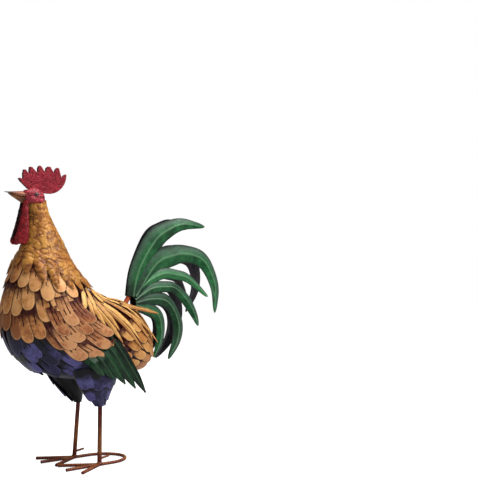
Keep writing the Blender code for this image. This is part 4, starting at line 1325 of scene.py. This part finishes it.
upper_beak = loft("beak_upper_detailed", beak_rings(UPPER_BEAK, 0.55))
dress(upper_beak, [BEAK_PAINT_TOP], ["beak_upper"])
lower_beak = loft("beak_lower_detailed", beak_rings(LOWER_BEAK, 0.35))
dress(lower_beak, [BEAK_PAINT_LOW], ["beak_lower"])
for side, sign in (("left", -1), ("right", 1)):
    turn, lean = np.linspace(0, 2 * np.pi, 48, endpoint=False), np.radians(WATTLE_TURN)
    rings = []
    for x, out, z, half, thick in spline(WATTLE, np.linspace(0, 1, 70)):
        back, across = half * np.cos(turn), thick * np.sin(turn)
        away = out + back * np.sin(lean) - across * np.cos(lean)
        rings.append(np.stack([(x + back * np.cos(lean) + across * np.sin(lean)) * MM + FEET_X,
                               sign * away * MM, np.full(len(turn), z * MM)], 1))
    wattle = loft(f"wattle_{side}_detailed", rings)
    hammer(wattle, 7 * MM, 0.9 * MM)
    dress(wattle, [WATTLE_PAINT, DARK_EDGE_AND_SHADE_PAINT], [f"wattle_{side}"], angle=60)
    # Painted shade: the upper inner faces, which look towards the other wattle, take the dark paint.
    for face in wattle.data.polygons:
        inner = face.normal.y * sign < -0.1 and face.center.z > 400 * MM
        face.material_index = int(inner)

# %% [markdown]
# ## Legs, feet and the loop
# The legs are plain 8 mm rod. The toes, spurs and loop are ribbed reinforcing bar, with
# slanted ribs all along. The ribs are real relief: a ring of points every half
# millimetre, pushed out where a rib passes.

# %% Bars
LEG_TOP = (3.5, 38, 104)
FOOT = (0, 43.4)
TOE_TIPS = {"middle": (-67.3, 44.9), "outer": (-57.8, 82.2), "inner": (-60.2, 2.8)}
BAR_RADIUS = 2.7
RIB_HEIGHT = 0.35
RIB_PITCH = 4.2
BAR_SIDES = 14


def leg_paint():
    """Brown ochre, with dark red under the thighs and red brown at the ankles."""
    material, tree, shader, paint = start_paint("leg brown", (148, 92, 44), (112, 60, 28),
                                                (64, 22, 14), wash=0.8)
    height = split(tree, object_place(tree))["Z"]
    upper = ramp(tree, height, 0.055, 0.1)
    lower = ramp(tree, height, 0.03, 0.01)
    colour = mix(tree, upper, paint.outputs["Color"], linear(80, 12, 10))
    tree.links.new(mix(tree, lower, colour, linear(100, 34, 22)), shader.inputs["Base Color"])
    return material


def foot_paint():
    """Ochre as painted highlight on the tops of the bars and brick red on their sides, with small
    chips.
    """
    material, tree, shader, paint = start_paint("foot ochre", (182, 116, 66), (142, 80, 50),
                                                (84, 38, 30), wash=0.8)
    facing = add_node(tree, "ShaderNodeNewGeometry").outputs["Normal"]
    # Painted highlight: faces that look up stay ochre, the others turn brick red.
    low = ramp(tree, split(tree, facing)["Z"], 0.75, 0.1)
    tree.links.new(mix(tree, low, paint.outputs["Color"], linear(106, 42, 32)),
                   shader.inputs["Base Color"])
    return material


def bar(name, path, radius, ribbed=True):
    """A round bar along a path, with slanted ribs."""
    steps = np.linalg.norm(np.diff(path, axis=0), axis=1)
    walked = np.concatenate([[0], np.cumsum(steps)])
    count = max(8, int(walked[-1] / (0.55 * MM)))
    place = np.linspace(0, walked[-1], count)
    line = np.stack([np.interp(place, walked, path[:, k]) for k in range(3)], 1)
    along = np.gradient(line, axis=0)
    along /= np.linalg.norm(along, axis=1, keepdims=True)
    side = np.cross(along, (0, 0, 1.0))
    side[np.linalg.norm(side, axis=1) < 1e-3] = (0, 1.0, 0)
    side /= np.linalg.norm(side, axis=1, keepdims=True)
    up = np.cross(side, along)
    angle = np.linspace(0, 2 * np.pi, BAR_SIDES, endpoint=False)
    rings = []
    for k in range(count):
        phase = (place[k] / MM + 1.6 * abs(np.sin(angle / 2) * 2 - 1)) / RIB_PITCH
        rib = np.clip(np.cos(phase * 2 * np.pi) * 1.6, 0, 1) * RIB_HEIGHT if ribbed else 0 * angle
        spine = RIB_HEIGHT * 0.8 * (abs(np.sin(angle)) < 0.1) if ribbed else 0
        reach = (radius + np.maximum(rib, spine)) * MM
        outwards = side[k] * np.cos(angle)[:, None] + up[k] * np.sin(angle)[:, None]
        rings.append(line[k] + outwards * reach[:, None])
    return loft(name, rings)


LEG_PAINT = leg_paint()
FOOT_PAINT = foot_paint()
print("a rib every", RIB_PITCH, "mm along the bars")

# %% [markdown]
# Each foot has three toes and a spur that meet in a beaten weld at the ankle. One more
# bar makes the loop: straight out of both feet and round behind them in a half oval.

# %% Feet
LEG_RADIUS = 3.95
SPUR_RADIUS = 1.9
SPUR_RISE = (15 * MM, 0, 2.5 * MM)
WELD_HALVES = (6.2, 6.2, 4.3)
for side, sign in (("left", -1), ("right", 1)):
    ankle = at(FOOT[0], sign * FOOT[1], 0)
    knee = at(LEG_TOP[0], sign * LEG_TOP[1], LEG_TOP[2])
    leg = bar(f"leg_{side}_detailed", np.array([ankle + (0, 0, 6 * MM), knee]), LEG_RADIUS,
              ribbed=False)
    dress(leg, [LEG_PAINT], [f"leg_{side}"])
    height = np.array([0, 0, (BAR_RADIUS + RIB_HEIGHT) * MM])
    for toe, (x, out) in TOE_TIPS.items():
        piece = bar(f"toe_{toe}_{side}_detailed",
                    np.array([ankle + height, at(x, sign * out, 0) + height]), BAR_RADIUS)
        dress(piece, [FOOT_PAINT], [f"toe_{toe}_{side}"], angle=30)
    behind = ankle + (4.5 * MM, 0, 14 * MM)
    spur = bar(f"spur_{side}_detailed", np.array([behind, behind + SPUR_RISE]), SPUR_RADIUS)
    dress(spur, [FOOT_PAINT], [f"spur_{side}"], angle=30)
    weld = ellipsoid(f"foot_weld_{side}_detailed", (FOOT[0], sign * FOOT[1], 4.4),
                     WELD_HALVES)
    apply_modifier(weld, "SUBSURF", levels=1, render_levels=1)
    hammer(weld, 3.5 * MM, 0.6 * MM)
    dress(weld, [FOOT_PAINT], [f"foot_weld_{side}"], angle=60)

LOOP_STRAIGHT = 28
LOOP_DEPTH = 47
curve = [(LOOP_STRAIGHT + LOOP_DEPTH * np.cos(turn), FOOT[1] * np.sin(turn))
         for turn in np.linspace(-np.pi / 2, np.pi / 2, 60)]
curve = [(0, -FOOT[1]), *curve, (0, FOOT[1])]
loop_path = np.array([at(x, y, BAR_RADIUS + RIB_HEIGHT) for x, y in curve])
loop = bar("base_loop_detailed", loop_path, BAR_RADIUS)
dress(loop, [FOOT_PAINT], ["base_loop"], angle=30)

# %% [markdown]
# The tail stands in an orange socket on the rump. A thin black rod runs from inside the
# socket up between the two plates.

# %% Tail socket and rod
SOCKET_RADIUS = 4.7
ROD_RADIUS = 2.95
SOCKET_PAINT = start_paint("socket orange", (196, 96, 54), (150, 62, 38), (70, 26, 20), wash=0.7)[0]
ROD_PAINT = start_paint("rod black", (52, 48, 46), (26, 24, 24), (10, 10, 10), wash=0.6)[0]
foot, top = at(77, 0, 282), at(100, 0, 318)
axis = (top - foot) / np.linalg.norm(top - foot)
socket_ends = np.array([foot - axis * 8 * MM, foot + axis * 21 * MM])
socket = bar("tail_socket_detailed", socket_ends, SOCKET_RADIUS, ribbed=False)
dress(socket, [SOCKET_PAINT], ["tail_socket"])
rod = bar("tail_rod_detailed", np.array([foot + axis * 12 * MM, top]), ROD_RADIUS,
          ribbed=False)
dress(rod, [ROD_PAINT], ["tail_rod"])

# %% [markdown]
# ## Floor, light and camera
# A pale floor that glows for the camera only and a white world give the even surround
# of a product picture. A large soft light from above shapes the feathers. A smaller one
# from the right front adds to it, and a weak one fills the left side.

# %% Stage
FLOOR_GLOW = 0.88
FLOOR_TONE = (0.78, 0.78, 0.78, 1)
FLOOR_SIZE = 12
FLOOR_DROP = 0.5 * MM
LIGHT_AIM = (0, 0, 0.28)
LIGHTS = {
    "top light": ((0.3, -0.4, 2.4), 50, 1.4),
    "key light": ((0.8, -1.6, 1.7), 25, 0.6),
    "fill light": ((-1.5, -1.3, 0.9), 2.5, 1.0),
}
deselect_all()
bpy.ops.mesh.primitive_plane_add(size=FLOOR_SIZE, location=(0, 0, -FLOOR_DROP))
floor = bpy.context.object
floor.name = "floor"
floor_paint = bpy.data.materials.new("floor")
floor_paint.use_nodes = True
floor_shader = floor_paint.node_tree.nodes["Principled BSDF"]
floor_shader.inputs["Base Color"].default_value = FLOOR_TONE
floor_shader.inputs["Roughness"].default_value = 1.0
floor_shader.inputs["Specular IOR Level"].default_value = 0.0
floor_shader.inputs["Emission Color"].default_value = (1, 1, 1, 1)
floor_tree = floor_paint.node_tree
seen = add_node(floor_tree, "ShaderNodeLightPath").outputs["Is Camera Ray"]
floor_tree.links.new(ramp(floor_tree, seen, 0.0, 1.0, 0.0, FLOOR_GLOW),
                     floor_shader.inputs["Emission Strength"])
floor.data.materials.append(floor_paint)

SKY_LIGHT = 0.18
world = bpy.data.worlds.new("studio")
bpy.context.scene.world = world
world.use_nodes = True
sky = world.node_tree.nodes["Background"]
sky.inputs["Color"].default_value = (1, 1, 1, 1)
seen = add_node(world.node_tree, "ShaderNodeLightPath").outputs["Is Camera Ray"]
world.node_tree.links.new(ramp(world.node_tree, seen, 0.0, 1.0, SKY_LIGHT, 1.0),
                          sky.inputs["Strength"])
bpy.context.scene.view_settings.view_transform = "Standard"


def soft_light(name, place, energy, size):
    """A square area light that looks at the middle of the statue."""
    data = bpy.data.lights.new(name, "AREA")
    data.energy, data.size = energy, size
    light = bpy.data.objects.new(name, data)
    bpy.context.scene.collection.objects.link(light)
    light.location = place
    aim = Vector(LIGHT_AIM) - Vector(place)
    light.rotation_euler = aim.to_track_quat("-Z", "Y").to_euler()


for name, (place, energy, size) in LIGHTS.items():
    soft_light(name, place, energy, size)
print("lights:", ", ".join(LIGHTS))

# %% [markdown]
# The camera stands where the photo was taken: to the left and in front of the statue,
# a little higher than its middle, and looking up by 3 degrees.

# %% Camera
CAMERA_PLACE = (-0.777 + FEET_X, -1.283, 0.307)
CAMERA_LENS = 57.6
LOOK_UP = 3.1
LOOK_RIGHT = 41.85
camera = bpy.data.objects.new("camera", bpy.data.cameras.new("camera"))
bpy.context.scene.collection.objects.link(camera)
camera.location = CAMERA_PLACE
camera.rotation_euler = (np.radians(90 + LOOK_UP), 0, -np.radians(LOOK_RIGHT))
camera.data.lens = CAMERA_LENS
bpy.context.scene.camera = camera
print("camera at", [round(v, 3) for v in CAMERA_PLACE])

# %% [markdown]
# ## Closing
# The view layer is updated once more, so that every piece stands in its final place.

# %% Closing
bpy.context.view_layer.update()
